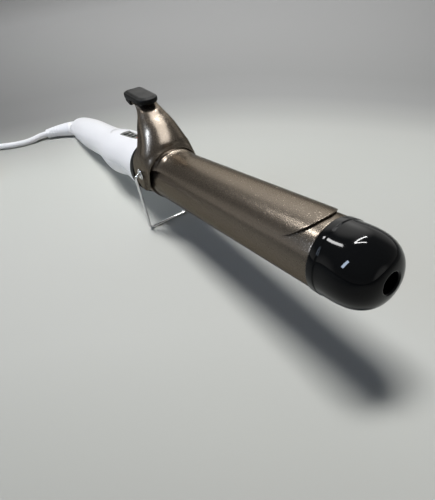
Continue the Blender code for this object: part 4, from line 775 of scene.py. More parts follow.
tab = Vector((PIVOT.x + ROOT_AHEAD - LEVER_REACH, 0, CLIP_RADIUS + LEVER_RISE))
on_tab = LAY @ Matrix.Translation(tab) @ Matrix.Rotation(REST_TILT, 4, "Y") @ Matrix.Translation(-tab)
rest_low = tab.z + CLIP_SHEET / 2 + GAP
rest_front = tab.x + SCREW_HEAD_RADIUS + REST_AHEAD
rest_rear = tab.x + SCREW_HEAD_RADIUS * 2 - REST_BEHIND
black_satin = moulded("black satin", (0.004, 0.004, 0.004, 1.0), 0.42, 0.52, depth=0.000006, spread=0.12,
                      fine=0.0004, Specular_IOR_Level=0.14)


def rest_outline(inset):
    """Plan of the rest, so far inside its rim: a round nose and a rear with rounded corners."""
    corner = REST_HALF_WIDTH / 2
    half = REST_HALF_WIDTH - inset
    nose = arc((rest_front - REST_HALF_WIDTH, 0.0), half, -math.pi / 2, math.pi / 2, 32)
    left = arc((rest_rear + corner, REST_HALF_WIDTH - corner), corner - inset, math.pi / 2, math.pi, 10)
    right = arc((rest_rear + corner, corner - REST_HALF_WIDTH), corner - inset, math.pi, math.pi * 1.5, 10)
    return nose + left + right


levels = [(0.0, REST_EDGE / 2), (REST_EDGE / 4, REST_EDGE / 8), (REST_EDGE / 2, 0.0),
          (REST_THICKNESS / 2, 0.0)]
for step in range(7):
    turn = step / 6 * math.pi / 2
    levels.append((REST_THICKNESS - REST_EDGE * (1 - math.sin(turn)), REST_EDGE * (1 - math.cos(turn))))
for step in range(1, 9):
    share = step / 8
    inset = REST_EDGE + (REST_HALF_WIDTH / 2 - REST_EDGE * 1.5) * share
    levels.append((REST_THICKNESS + REST_CROWN * (1 - (1 - share) ** 2), inset))
rings = []
for level, inset in levels:
    slope = REST_RISE / (rest_front - rest_rear) * level / REST_THICKNESS
    rings.append([(x, y, rest_low + level + (rest_front - x) * slope) for x, y in rest_outline(inset)])
rest = solid("thumb_plate", lofted(rings), black_satin, on_tab)
heel_half = REST_HALF_WIDTH - REST_EDGE
heel_side = (
    (rest_rear + REST_EDGE, rest_low + REST_THICKNESS / 2),
    (rest_rear + HEEL_LENGTH, rest_low + REST_THICKNESS / 2),
    (rest_rear + HEEL_LENGTH, rest_low - HEEL_DEPTH),
    (rest_rear + HEEL_LENGTH - REST_EDGE, rest_low - HEEL_DEPTH - REST_EDGE / 2),
    (rest_rear + REST_EDGE * 2, rest_low - HEEL_DEPTH + HEEL_SLANT),
    (rest_rear + REST_EDGE, rest_low - HEEL_DEPTH + HEEL_SLANT + REST_EDGE),
)
heel_x, heel_z = (sum(values) / len(heel_side) for values in zip(*heel_side))
heel_rings = []
for share, inset in ((-1.0, HEEL_SIDE_EASE), (-0.94, 0.0), (0.94, 0.0), (1.0, HEEL_SIDE_EASE)):
    shrink = 1 - inset / HEEL_DEPTH
    heel_rings.append([(heel_x + (x - heel_x) * shrink, heel_half * share, heel_z + (z - heel_z) * shrink)
                       for x, z in eased(heel_side, HEEL_EASE)])
heel = solid("heel", lofted(heel_rings), black_satin, on_tab)
combined(rest, heel, "UNION")
rest_hole = Vector((tab.x + SCREW_HEAD_RADIUS + GAP, 0, tab.z - CLIP_SHEET))
rest_grip = Vector((0, 0, CLIP_SHEET * 1.5 + REST_THICKNESS + GAP))
bored(rest, rest_hole, rest_hole + rest_grip, SCREW_RADIUS + GAP, place=on_tab)
fitted(rest, "clip", "black_satin", "thumb_rest")

# The stand is a U of 2.2 mm chromed wire. Its upper ends are bent inwards into the two hollow rivets, and it
# swings from standing under the hinge to folded along the barrel.
STAND_TOP_HALF = 0.0220
STAND_FOOT_HALF = 0.0168
STAND_END_HALF = 0.0166
STAND_EYE_BEND = 0.0024
STAND_FOOT_BEND = 0.0040
STAND_BACK = 0.0196
STAND_DROP = 0.0500

stand_foot = PIVOT + Vector((-STAND_BACK, 0.0, -STAND_DROP))
corners = [
    PIVOT + Vector((0, -STAND_END_HALF, 0)),
    PIVOT + Vector((0, -STAND_TOP_HALF, 0)),
    stand_foot + Vector((0, -STAND_FOOT_HALF, 0)),
    stand_foot + Vector((0, STAND_FOOT_HALF, 0)),
    PIVOT + Vector((0, STAND_TOP_HALF, 0)),
    PIVOT + Vector((0, STAND_END_HALF, 0)),
]
bends = (STAND_EYE_BEND, STAND_FOOT_BEND, STAND_FOOT_BEND, STAND_EYE_BEND)
stand = solid("wire_stand", wire(rounded_path(corners, bends, 16), STAND_WIRE_RADIUS, 28), chrome)
fitted(stand, "stand", "wire_chrome", "stand_wire")

# The heat collar is moulded in black heat-proof plastic. It grips the barrel's rear end and plugs into the
# mouth of the handle, so that the painted metal never touches the white shell.
COLLAR_SEAT = 0.0045
COLLAR_WIDTH = 0.0064
COLLAR_RADIUS = 0.0185
COLLAR_EDGE = 0.0009
COLLAR_SLEEVE = 0.0120
COLLAR_SLEEVE_WALL = 0.0020
HANDLE_RADIUS = 0.0179
HANDLE_WALL = 0.0028
HANDLE_MOUTH = 0.98
HANDLE_START = -(BARREL_LENGTH - COLLAR_SEAT + COLLAR_WIDTH + GAP)

sleeve = HANDLE_MOUTH * HANDLE_RADIUS - HANDLE_WALL - GAP * 2
collar_back = HANDLE_START + GAP
collar_outline = (
    (collar_back + COLLAR_WIDTH, BARREL_RADIUS + GAP),
    (collar_back + COLLAR_WIDTH, COLLAR_RADIUS),
    (collar_back, COLLAR_RADIUS),
    (collar_back, sleeve),
    (collar_back - COLLAR_SLEEVE, sleeve),
    (collar_back - COLLAR_SLEEVE, sleeve - COLLAR_SLEEVE_WALL),
    (-BARREL_LENGTH - GAP, sleeve - COLLAR_SLEEVE_WALL),
    (-BARREL_LENGTH - GAP, BARREL_RADIUS + GAP),
)
collar = solid("heat_guard", revolved(eased(collar_outline, COLLAR_EDGE)), black_satin)
fitted(collar, "iron", "black_satin", "heat_collar")

# The handle is two hollow half shells moulded in glossy white plastic, parted along their middle and screwed
# together from below. It starts round at the collar, has a bulge for the fingers, and narrows to the rear.
HANDLE_LENGTH = 0.1916
HANDLE_STATIONS = 92
SECTION_STEPS = 40
# How far back along the handle, then the radius at the top and at the bottom, in handle radii.
HANDLE_PROFILE = (
    (0.00, 0.98, 0.98), (0.03, 1.00, 0.99), (0.08, 1.00, 0.93), (0.14, 0.99, 0.89), (0.19, 0.99, 0.91),
    (0.24, 1.00, 1.02), (0.29, 0.97, 1.07), (0.34, 0.91, 1.03), (0.39, 0.86, 0.94), (0.45, 0.83, 0.83),
    (0.52, 0.83, 0.78), (0.60, 0.84, 0.79), (0.70, 0.85, 0.78), (0.80, 0.81, 0.73), (0.90, 0.73, 0.65),
    (0.96, 0.63, 0.595), (1.00, 0.52, 0.52),
)
PARTING_EASE = 0.0002
HANDLE_WHITE = (0.93, 0.93, 0.95, 1.0)
HANDLE_SCREWS = (0.44, 0.80)
SCREW_SINK = 0.0036
SCREW_POST_RADIUS = 0.0032
SCREW_BORE_TOP = 0.0010
UNMOVED = Matrix.Identity(4)


def handle_profile(share):
    """Radius at the top and at the bottom, on a smooth curve through the profile's rows."""
    rows = HANDLE_PROFILE
    index = max(i for i, row in enumerate(rows[:-1]) if row[0] <= share)
    start, end = rows[index], rows[index + 1]
    before, after = rows[max(index - 1, 0)], rows[min(index + 2, len(rows) - 1)]
    span = end[0] - start[0]
    t = (share - start[0]) / span
    radii = []
    for side in (1, 2):
        slope_in = (end[side] - before[side]) / (end[0] - before[0]) * span
        slope_out = (after[side] - start[side]) / (after[0] - start[0]) * span
        value = start[side] * (2 * t**3 - 3 * t**2 + 1) + slope_in * (t**3 - 2 * t**2 + t)
        value += end[side] * (3 * t**2 - 2 * t**3) + slope_out * (t**3 - t**2)
        radii.append(value * HANDLE_RADIUS)
    return radii


def handle_point(share, inset, turn):
    """A point on the handle's skin, or so far inside it, at an angle from its left side."""
    top_radius, low_radius = handle_profile(share)
    radius = low_radius + (top_radius - low_radius) * (1 + math.sin(turn)) / 2 - inset
    along = HANDLE_START - HANDLE_LENGTH * share
    return Vector((along, radius * math.cos(turn), radius * math.sin(turn)))


def half_section(share, side, trim):
    """One half shell's section at a station: its skin, eased at the parting line, and its inside."""
    points = []
    for inset, ease in ((trim, PARTING_EASE), (HANDLE_WALL, 0.0)):
        radius = handle_point(share, inset, 0.0).y
        start = math.asin(GAP / 2 / radius)
        line = [(ease * 0.3 + inset, start), (inset, start + ease / radius)] if ease else [(inset, start)]
        first = line[-1][1]
        span = math.pi - 2 * first
        line += [(inset, first + span * step / SECTION_STEPS) for step in range(1, SECTION_STEPS)]
        line += [(at, math.pi - turn) for at, turn in reversed(line[:2 if ease else 1])]
        made = [handle_point(share, at, side * turn) for at, turn in line]
        points += made if inset == trim else reversed(made)
    return points


def handle_core(inset):
    """The handle as a solid, so far inside its skin, to cut with."""
    stations = [station / HANDLE_STATIONS for station in range(HANDLE_STATIONS + 1)]
    turns = [math.tau * step / (SECTION_STEPS * 2) for step in range(SECTION_STEPS * 2)]
    return solid("core", lofted([[handle_point(share, inset, turn) for turn in turns] for share in stations]))


def block(name, low, high, made_of=None, place=LAY):
    """A box between two opposite corners."""
    (x1, y1, z1), (x2, y2, z2) = low, high
    rings = [[(x, y1, z1), (x, y2, z1), (x, y2, z2), (x, y1, z2)] for x in (x1, x2)]
    return solid(name, lofted(rings), made_of, place)


end_trim = EDGE_EASE
trim_share = end_trim / HANDLE_LENGTH
stations = [(0.0, end_trim), (trim_share * 0.3, end_trim * 0.3), (trim_share, 0.0)]
stations += [(station / HANDLE_STATIONS, 0.0) for station in range(1, HANDLE_STATIONS)]
stations += [(1 - share, trim) for share, trim in reversed(stations[:3])]
handle_white = moulded("white shell", HANDLE_WHITE, 0.36, 0.44, depth=0.0000015, spread=0.02, fine=0.0006)
shells = {}
for side, side_name in ((1, "upper"), (-1, "lower")):
    rings = [half_section(share, side, trim) for share, trim in stations]
    shells[side_name] = solid(f"shell_{side_name}", lofted(rings), handle_white)

# The lower shell is cut flat where it rests, and has a post and a sunk hole for each of its two screws.
under_table = [[(x, y, z) for x, y in ((-0.3, -0.05), (-0.3, 0.05), (0.1, 0.05), (0.1, -0.05))]
               for z in (-0.03, 0.0)]
combined(shells["lower"], solid("under_table", lofted(under_table), None, UNMOVED), "DIFFERENCE")
for share in HANDLE_SCREWS:
    outside = handle_point(share, 0.0, -math.pi / 2)
    below, seat = outside - Vector((0, 0, 0.004)), outside + Vector((0, 0, SCREW_SINK))
    foot = seat - Vector((0, 0, SCREW_SINK * 0.6))
    bored(shells["lower"], below, seat, SCREW_HEAD_RADIUS + GAP)
    combined(shells["lower"], rod("post", foot, Vector((seat.x, 0, -GAP / 2)), SCREW_POST_RADIUS), "UNION")
    bored(shells["lower"], below, seat, SCREW_HEAD_RADIUS + GAP)
    bored(shells["lower"], below, Vector((seat.x, 0, SCREW_BORE_TOP)), SCREW_RADIUS + GAP)

# The inlay lies in a shallow recess on top of the handle: a long oval, small in front and wide behind. Its
# front part is dark grey and carries the lamp and three dark buttons, two with pale marks, and its rear part is
# white like the handle.
PANEL_FRONT = 0.0124
PANEL_FRONT_RADIUS = 0.0026
PANEL_REAR_RADIUS = 0.0054
PANEL_LENGTH = 0.0304
INLAY_LENGTH = 0.0536
PANEL_SINK = 0.0002
PANEL_THICKNESS = 0.0011
BUTTON_PLACES = {"power": (0.0373, 0.0030), "plus": (0.0298, 0.0022), "minus": (0.0232, 0.0020)}
BUTTON_PROUD = 0.0008
BUTTON_CAP = 0.0018
BUTTON_TRAVEL = 0.0006
BUTTON_DISH = 0.00025
BUTTON_DISH_SHARE = 0.8
BUTTON_EDGE = 0.00035
STEM_RADIUS = 0.0011
BOARD_TOP = HANDLE_RADIUS - 0.0086
SWITCH_HEIGHT = 0.0034
SWITCH_FLOOR = 0.0010
LAMP_PLACE = 0.0174
LAMP_RADIUS = 0.0009
MARK_DEPTH = 0.00012


def inlay_outline(part, grow=0.0):
    """Plan of the inlay, or of its front or rear part alone."""
    front, rear = PANEL_FRONT_RADIUS + grow, PANEL_REAR_RADIUS + grow
    start = HANDLE_START - PANEL_FRONT
    front_x, rear_x = start - PANEL_FRONT_RADIUS, start - INLAY_LENGTH + PANEL_REAR_RADIUS
    turn = math.acos((front - rear) / (front_x - rear_x))
    nose = arc((front_x, 0.0), front, -turn, turn, 24)
    tail = arc((rear_x, 0.0), rear, turn, math.tau - turn, 32)
    if part == "whole":
        return nose + tail
    seam = start - PANEL_LENGTH - (GAP if part == "tail" else 0.0)
    (x1, y1), (x2, y2) = nose[-1], tail[0]
    half = y1 + (y2 - y1) * (seam - x1) / (x2 - x1)
    if part == "tail":
        return [(seam, -half), (seam, half)] + tail
    return nose + [(seam, half), (seam, -half)]


def prism(name, outline, low, high, made_of=None):
    """An upright body over a plan outline."""
    return solid(name, lofted([[(x, y, level) for x, y in outline] for level in (low, high)]), made_of)


def handle_top(place):
    """The point on the handle's crest, so far behind its front end."""
    return handle_point(place / HANDLE_LENGTH, 0.0, math.pi / 2)


above = HANDLE_RADIUS + 0.004
panel_grey = moulded("grey inlay", (0.115, 0.120, 0.102, 1.0), 0.30, 0.40, depth=0.000012, spread=0.1)
button_grey = moulded("dark button", (0.085, 0.088, 0.078, 1.0), 0.38, 0.48, depth=0.00001)
mark_paint = moulded("pale marking", (0.62, 0.62, 0.60, 1.0), 0.45, 0.55, depth=0.000006)
for part, piece_name, made_of in (("nose", "control_inlay", panel_grey),
                                  ("tail", "inlay_tail", handle_white)):
    shells[part] = prism(piece_name, inlay_outline(part), 0.0, above, made_of)
    combined(shells[part], handle_core(PANEL_SINK), "INTERSECT")
    combined(shells[part], handle_core(PANEL_SINK + PANEL_THICKNESS), "DIFFERENCE")
recess = prism("recess", inlay_outline("whole", GAP), 0.0, above)
combined(recess, handle_core(PANEL_SINK + PANEL_THICKNESS + GAP), "DIFFERENCE")
combined(shells["upper"], recess, "DIFFERENCE")

for name, (place, radius) in BUTTON_PLACES.items():
    top = handle_top(place)
    cap_top = top.z - PANEL_SINK + BUTTON_PROUD
    cap_low = cap_top - BUTTON_CAP
    ledge = Vector((top.x, 0, cap_low - BUTTON_TRAVEL - GAP))
    for shell in ("upper", "nose"):
        bored(shells[shell], ledge, Vector((top.x, 0, above)), radius + GAP)
    bored(shells["upper"], Vector((top.x, 0, BOARD_TOP + SWITCH_HEIGHT)), ledge, STEM_RADIUS + GAP)
    stem_end = BOARD_TOP + SWITCH_FLOOR + GAP + BUTTON_TRAVEL
    rim = radius * BUTTON_DISH_SHARE
    dish = [(cap_top - BUTTON_DISH * (1 - share**2), rim * share) for share in (0.8, 0.6, 0.4, 0.2, 0.0)]
    button_outline = [(stem_end, 0.0), (stem_end, STEM_RADIUS), (cap_low, STEM_RADIUS), (cap_low, radius),
                      (cap_top, radius), (cap_top, rim), *dish]
    key = revolved(eased(button_outline, BUTTON_EDGE), 56, (top.x, 0, 0), (0, 0, 1))
    fitted(solid(f"key_{name}", key, button_grey), f"{name}_key", "button_grey", f"{name}_button")
    if name == "power":
        continue
    bars = [(0.11, 0.48), (0.48, 0.11)] if name == "plus" else [(0.11, 0.48)]
    mark_low = cap_top - BUTTON_DISH - MARK_DEPTH * (1 + len(bars) * 0.1)
    mark_high = cap_top - BUTTON_DISH + MARK_DEPTH
    mark = None
    for share_x, share_y in bars:
        half_x, half_y = radius * share_x, radius * share_y
        bar = block(f"mark_{name}", (top.x - half_x, -half_y, mark_low), (top.x + half_x, half_y, mark_high),
                    mark_paint)
        mark = combined(mark, bar, "UNION") if mark else bar
    fitted(mark, f"{name}_key", "button_grey")

lens_top = handle_top(LAMP_PLACE) - Vector((0, 0, PANEL_SINK))
lens_low = Vector((lens_top.x, 0, BOARD_TOP + GAP))
for shell in ("upper", "nose"):
    bored(shells[shell], lens_low, Vector((lens_top.x, 0, above)), LAMP_RADIUS + GAP)
lens_length = lens_top.z - lens_low.z
lens_outline = [(0.0, 0.0), (0.0, LAMP_RADIUS)]
lens_outline += [(lens_length - LAMP_RADIUS * 0.4 * (1 - math.sin(turn)), LAMP_RADIUS * math.cos(turn))
                 for turn in (step / 8 * math.pi / 2 for step in range(9))]
lens_red = moulded("red lens", (0.70, 0.10, 0.07, 1.0), 0.06, 0.12, depth=0.000002, spread=0.15, fine=0.0002)
lens = solid("lamp_lens", revolved(lens_outline, 40, lens_low, (0, 0, 1)), lens_red)
fitted(lens, "iron", "lens_red", "indicator_lens")
for shell, node, slot in (("upper", "handle_upper", "white_gloss"), ("lower", "handle_lower", "white_gloss"),
                          ("nose", "control_panel", "panel_grey"), ("tail", "panel_tail", "white_gloss")):
    fitted(shells[shell], "iron", slot, node)

# The cord leaves through a swivel that turns freely in the handle's end: a white moulded ball with a side
# stub. Its flange sits inside the shells, and its contacts slide in the holder in front of it.
SWIVEL_RADIUS = 0.0083
SWIVEL_STUB_RADIUS = 0.0074
SWIVEL_STUB = 0.0098
SWIVEL_BEARING = math.radians(50)
SWIVEL_DIP = math.radians(5)
SWIVEL_WALL = 0.0056
SWIVEL_BORE = 0.0034
FLANGE_RADIUS = 0.0076
FLANGE_WIDTH = 0.0020
FLANGE_INSET = 0.0110
RELIEF_LENGTH = 0.0280
RELIEF_START_RADIUS = 0.0074
RELIEF_END_RADIUS = 0.0046
RELIEF_TURN = math.radians(28)
RELIEF_STEPS = 84
RELIEF_GROOVES = 9
RELIEF_GROOVE_DEPTH = 0.00035
RELIEF_EDGE = 0.0004

handle_end = HANDLE_START - HANDLE_LENGTH
ball_centre = handle_end - GAP
flange_front = handle_end + FLANGE_INSET
ball = arc((ball_centre, 0.0), SWIVEL_RADIUS, math.pi / 2, math.pi, 28)
swivel_outline = [
    (flange_front, SWIVEL_BORE),
    (flange_front, FLANGE_RADIUS),
    (flange_front - FLANGE_WIDTH, FLANGE_RADIUS),
    (flange_front - FLANGE_WIDTH, SWIVEL_WALL),
    (ball_centre, SWIVEL_WALL),
    *ball[:-1],
    (ball[-1][0], 0.0),
    (ball_centre + SWIVEL_BORE, 0.0),
    (ball_centre + SWIVEL_BORE, SWIVEL_BORE),
]
swivel = solid("swivel_ball", revolved(swivel_outline, 96), handle_white)


def heading(bearing):
    """A direction on the table, dipping a little, to the rear and the right."""
    return Vector((-math.cos(bearing), -math.sin(bearing), -math.tan(SWIVEL_DIP))).normalized()


stub_start = LAY @ Vector((ball_centre, 0, 0))
stub_outline = ((0.0, 0.0), (0.0, SWIVEL_STUB_RADIUS), (SWIVEL_STUB, SWIVEL_STUB_RADIUS), (SWIVEL_STUB, 0.0))
stub = solid("stub", revolved(stub_outline, 72, stub_start, heading(SWIVEL_BEARING)), handle_white, UNMOVED)
ahead = [[(ball_centre + reach, y, z) for y, z in ((-0.02, -0.02), (0.02, -0.02), (0.02, 0.02), (-0.02, 0.02))]
         for reach in (0.0, 0.02)]
combined(stub, solid("ahead", lofted(ahead)), "DIFFERENCE")
combined(swivel, stub, "UNION")
fitted(swivel, "cord", "white_gloss", "cord_swivel")

# The strain relief is moulded in softer white plastic: a tapered sleeve with shallow ring grooves towards its
# end, that keeps the cord from kinking at the swivel.
relief_white = moulded("soft white sleeve", (0.85, 0.855, 0.885, 1.0), 0.34, 0.48, depth=0.000003)
relief_points = [stub_start + heading(SWIVEL_BEARING) * (SWIVEL_STUB + GAP)]
bearing = SWIVEL_BEARING
for step in range(RELIEF_STEPS):
    relief_points.append(relief_points[-1] + heading(bearing) * RELIEF_LENGTH / RELIEF_STEPS)
    bearing += RELIEF_TURN / RELIEF_STEPS
relief_radii = []
for step in range(RELIEF_STEPS + 1):
    share = step / RELIEF_STEPS
    radius = RELIEF_START_RADIUS + (RELIEF_END_RADIUS - RELIEF_START_RADIUS) * share
    wave = max(0.0, math.cos(share * math.tau * RELIEF_GROOVES)) ** 3 if 0.40 < share < 0.96 else 0.0
    edge = RELIEF_EDGE * max(0.0, 1 - min(share, 1 - share) * RELIEF_STEPS / 2)
    relief_radii.append(radius - wave * RELIEF_GROOVE_DEPTH - edge)
relief = solid("strain_sleeve", swept(relief_points, relief_radii, 56), relief_white, UNMOVED)
fitted(relief, "cord", "cord_white", "strain_relief")

# The coil is held by a flat black band, and the plug is a flat moulded one with two plain brass blades, as
# on any small appliance. It carries no words.
TIE_WIDTH = 0.0080
TIE_THICKNESS = 0.0006
TIE_CORNER = 0.0030
PLUG_NECK = 0.0160
PLUG_LENGTH = 0.0260
PLUG_NECK_RADIUS = 0.0048
PLUG_HALF_WIDTH = 0.0120
PLUG_HALF_HEIGHT = 0.0066
BLADE_LENGTH = 0.0175
BLADE_WIDTH = 0.0063
BLADE_THICKNESS = 0.0015
BLADE_SPACING = 0.0127
BLADE_ROOT = 0.0040
BLADE_CORNER = 0.0010
BLADE_EASE = 0.0002
BLADE_HOLE = 0.0016
BLADE_HOLE_SETBACK = 0.0035

tie_in = COIL_INNER_RADIUS - COIL_DIP - CORD_RADIUS - GAP * 2
half_turn_in = (COIL_OUTER_RADIUS - COIL_INNER_RADIUS) / COIL_TURNS_IN / 2
tie_out = COIL_OUTER_RADIUS - half_turn_in + CORD_RADIUS + GAP * 2
tie_top = COIL_CENTRE.z - CORD_RADIUS + COIL_RISE + CORD_RADIUS * 2 + GAP * 2 + TIE_THICKNESS


def tie_section(inset):
    """Outline of the band across the cords that it holds, so far inside its outer face."""
    corner = TIE_CORNER - inset
    low, high = inset, tie_top - inset
    inner, outer = tie_in - TIE_THICKNESS + inset, tie_out + TIE_THICKNESS - inset
    return (
        arc((outer - corner, high - corner), corner, 0.0, math.pi / 2, 10)
        + arc((inner + corner, high - corner), corner, math.pi / 2, math.pi, 10)
        + arc((inner + corner, low + corner), corner, math.pi, math.pi * 1.5, 10)
        + arc((outer - corner, low + corner), corner, math.pi * 1.5, math.tau, 10)
    )


trim = TIE_THICKNESS * 0.25
tie_rings = []
for inset, half in ((trim, -1), (0.0, -0.95), (0.0, 0.95), (trim, 1), (TIE_THICKNESS - trim, 1),
                    (TIE_THICKNESS, 0.95), (TIE_THICKNESS, -0.95), (TIE_THICKNESS - trim, -1)):
    y = COIL_CENTRE.y + half * TIE_WIDTH / 2
    tie_rings.append([(COIL_CENTRE.x + x, y, z) for x, z in tie_section(inset)])
tie_black = moulded("black band", (0.018, 0.018, 0.019, 1.0), 0.48, 0.62, depth=0.00004, spread=0.2,
                    fine=0.0008)
tie = solid("coil_band", lofted(tie_rings, True), tie_black, UNMOVED)
fitted(tie, "cord", "tie_black", "cord_tie")

plug_start = Vector(CORD_TAIL[-1])
plug_heading = plug_start - Vector(CORD_TAIL[-2])
turn = Matrix.Rotation(math.atan2(plug_heading.y, plug_heading.x), 4, "Z")
plug_place = Matrix.Translation(plug_start + turn.to_3x3() @ Vector((GAP, 0, 0))) @ turn


def oval(along, half_width, half_height, power):
    """A rounded oblong section of the plug; a higher power is squarer."""
    points = []
    for step in range(64):
        turn = math.tau * step / 64
        c, s = math.cos(turn), math.sin(turn)
        size = (abs(c) ** power + abs(s) ** power) ** (-1 / power)
        points.append(Vector((along, half_width * size * c, half_height * size * s)))
    return points


neck, plug_end = PLUG_NECK, PLUG_NECK + PLUG_LENGTH
plug_rings = [
    oval(0.0, CORD_RADIUS + GAP * 2, CORD_RADIUS + GAP * 2, 2),
    oval(neck * 0.4, CORD_RADIUS + GAP * 4, CORD_RADIUS + GAP * 4, 2),
    oval(neck * 0.8, PLUG_NECK_RADIUS, PLUG_NECK_RADIUS, 2),
    oval(neck, PLUG_HALF_WIDTH * 0.6, PLUG_HALF_HEIGHT * 0.8, 3),
    oval(neck + PLUG_LENGTH * 0.3, PLUG_HALF_WIDTH, PLUG_HALF_HEIGHT, 5),
    oval(plug_end - PLUG_LENGTH * 0.1, PLUG_HALF_WIDTH, PLUG_HALF_HEIGHT, 5),
    oval(plug_end, PLUG_HALF_WIDTH * 0.94, PLUG_HALF_HEIGHT * 0.9, 5),
]
smooth_rings = list(zip(*(curve_through(list(line), 6) for line in zip(*plug_rings))))
for ring in smooth_rings:
    for point in ring:
        point.y = min(max(point.y, -PLUG_HALF_WIDTH), PLUG_HALF_WIDTH)
        point.z = min(max(point.z, -PLUG_HALF_HEIGHT), PLUG_HALF_HEIGHT)
plug = solid("plug", lofted(smooth_rings), cord_white, plug_place)
brass = metal("brass", (0.72, 0.56, 0.27, 1.0), 0.22, 0.36)
blade_half = BLADE_WIDTH / 2
blade_middle = plug_end + (BLADE_LENGTH - BLADE_ROOT) / 2
blade_in, blade_out = plug_end - BLADE_ROOT, plug_end + BLADE_LENGTH
blade_profile = eased(((blade_in, -blade_half), (blade_out, -blade_half), (blade_out, blade_half),
                       (blade_in, blade_half)), BLADE_CORNER)
hole_x = plug_end + BLADE_LENGTH - BLADE_HOLE_SETBACK
pocket_half = BLADE_THICKNESS / 2 + GAP
for side, side_name in ((-1, "left"), (1, "right")):
    y = side * BLADE_SPACING / 2
    rings = []
    for share, inset in ((-1.0, BLADE_EASE), (-0.75, 0.0), (0.75, 0.0), (1.0, BLADE_EASE)):
        rings.append([(x - math.copysign(inset, x - blade_middle), y + share * BLADE_THICKNESS / 2,
                       z - math.copysign(inset, z)) for x, z in blade_profile])
    blade = solid(f"blade_{side_name}", lofted(rings), brass, plug_place)
    bored(blade, (hole_x, y - 0.002, 0), (hole_x, y + 0.002, 0), BLADE_HOLE, 32, plug_place)
    pocket = block("pocket", (plug_end - BLADE_ROOT - GAP, y - pocket_half, -blade_half - GAP),
                   (plug_end + 0.004, y + pocket_half, blade_half + GAP), None, plug_place)
    combined(plug, pocket, "DIFFERENCE")
    fitted(blade, "cord", "blade_brass", f"plug_blade_{side_name}")
fitted(plug, "cord", "cord_white", "plug_body")

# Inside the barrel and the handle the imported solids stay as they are: the cores and the heating plate, their
# holder and leads, the circuit board with its switches, the contact holder, and the screws.
INSIDES = {
    "core_metal": (metal("extruded aluminium", (0.60, 0.60, 0.61, 1.0), 0.34, 0.48, line=0.0006),
                   ("core_upper", "core_lower")),
    "ceramic": (moulded("white ceramic", (0.75, 0.72, 0.66, 1.0), 0.60, 0.78, depth=0.00002, spread=0.12),
                ("heating_plate", "rear_holder", "tip_insulator")),
    "lead_white": (moulded("glass sleeve", (0.70, 0.68, 0.62, 1.0), 0.70, 0.85, depth=0.00004, spread=0.2),
                   ("lead_live", "lead_neutral")),
    "board_green": (moulded("board green", (0.02, 0.16, 0.07, 1.0), 0.40, 0.55, depth=0.00001, spread=0.25),
                    ("circuit_board",)),
    "switch_black": (black_satin, ("power_switch", "plus_switch", "minus_switch", "contact_holder")),
    "steel": (metal("zinc-plated steel", (0.50, 0.50, 0.50, 1.0), 0.28, 0.42),
              ("tip_screw", "thumb_rest_screw", "handle_screw_front", "handle_screw_rear")),
}
for made_of, nodes in INSIDES.values():
    for node in nodes:
        for slot in frame["nodes"][node].material_slots:
            slot.material = made_of

# The wand lies on a pale matt table whose colour is painted with soft light and shade: lighter round the wand,
# darker in front, behind and aside. A soft lamp nearly overhead and a faint blue window light the matt
# surfaces.
# Two tubes, a window, a wall lamp and the room's glow are only mirrored, and so is a wide card that lights the
# clip alone.
TABLE_HALF = 6.0
TABLE_AWAY = Vector((-0.853, 0.522, 0.0))
TABLE_ACROSS = Vector((0.522, 0.853, 0.0))
TABLE_FRONT, TABLE_BACK = -0.22, 0.90
TABLE_MIDDLE = 0.17
TABLE_HALF_NEAR, TABLE_WIDENS = 0.28, 0.70
TABLE_DIMS_FROM, TABLE_DIMS_TO = 0.06, 0.22
TABLE_DIM_NEAR, TABLE_DIM, TABLE_DARKEST = 0.08, 0.72, 0.45
TABLE_SIDE_SOFT, TABLE_DARK_SOFT = 0.15, 0.35
# How far away from the camera each painted shade of the table lies, and its red, green and blue.
TABLE_PAINTED_SHADES = (
    (-0.22, 0.47, 0.47, 0.44), (-0.18, 0.525, 0.53, 0.495), (-0.12, 0.59, 0.595, 0.56),
    (-0.04, 0.61, 0.615, 0.58), (0.05, 0.62, 0.63, 0.59), (0.11, 0.62, 0.63, 0.59),
    (0.15, 0.60, 0.605, 0.57), (0.19, 0.50, 0.505, 0.48), (0.24, 0.42, 0.42, 0.41),
    (0.32, 0.41, 0.41, 0.40), (0.50, 0.49, 0.49, 0.48), (0.90, 0.66, 0.66, 0.65),
)


def shades(tree, value, rows):
    """A ramp of colours over a value from 0 to 1, from rows of a place, red, green and blue."""
    ramp = joined(tree, "ShaderNodeValToRGB", ((0, value),))
    stops = ramp.color_ramp.elements
    for index, (place, *colour) in enumerate(rows):
        stop = stops.new(place) if 0 < index < len(rows) - 1 else stops[-1 if index else 0]
        stop.position = place
        stop.color = (*colour, 1.0)
    return ramp.outputs[0]


table_bm = bmesh.new()
table_bm.faces.new([table_bm.verts.new((x * TABLE_HALF, y * TABLE_HALF, 0.0))
                    for x, y in ((-1, -1), (1, -1), (1, 1), (-1, 1))])
table_matt = finish("table", (*TABLE_PAINTED_SHADES[4][1:], 1.0), 0.85, Specular_IOR_Level=0.25)
tree = table_matt.node_tree
spot = joined(tree, "ShaderNodeTexCoord").outputs["Object"]
away, aside = (vector_maths(tree, "DOT_PRODUCT", spot, line)[1] for line in (TABLE_AWAY, TABLE_ACROSS))
curved = maths(tree, "MULTIPLY_ADD", aside, aside, away)
shade_places = [((place - TABLE_FRONT) / (TABLE_BACK - TABLE_FRONT), *colour)
                for place, *colour in TABLE_PAINTED_SHADES]
shade = shades(tree, mapped(tree, curved, TABLE_FRONT, TABLE_BACK, 0.0, 1.0), shade_places)
# Painted shade: the table's colour darkens towards its sides, and more so further from the camera.
half_width = maths(tree, "MULTIPLY_ADD", away, TABLE_WIDENS, TABLE_HALF_NEAR)
half_width = maths(tree, "SMOOTH_MAX", half_width, TABLE_HALF_NEAR / 2, TABLE_SIDE_SOFT)
off_middle = maths(tree, "DIVIDE", maths(tree, "ADD", aside, -TABLE_MIDDLE), half_width)
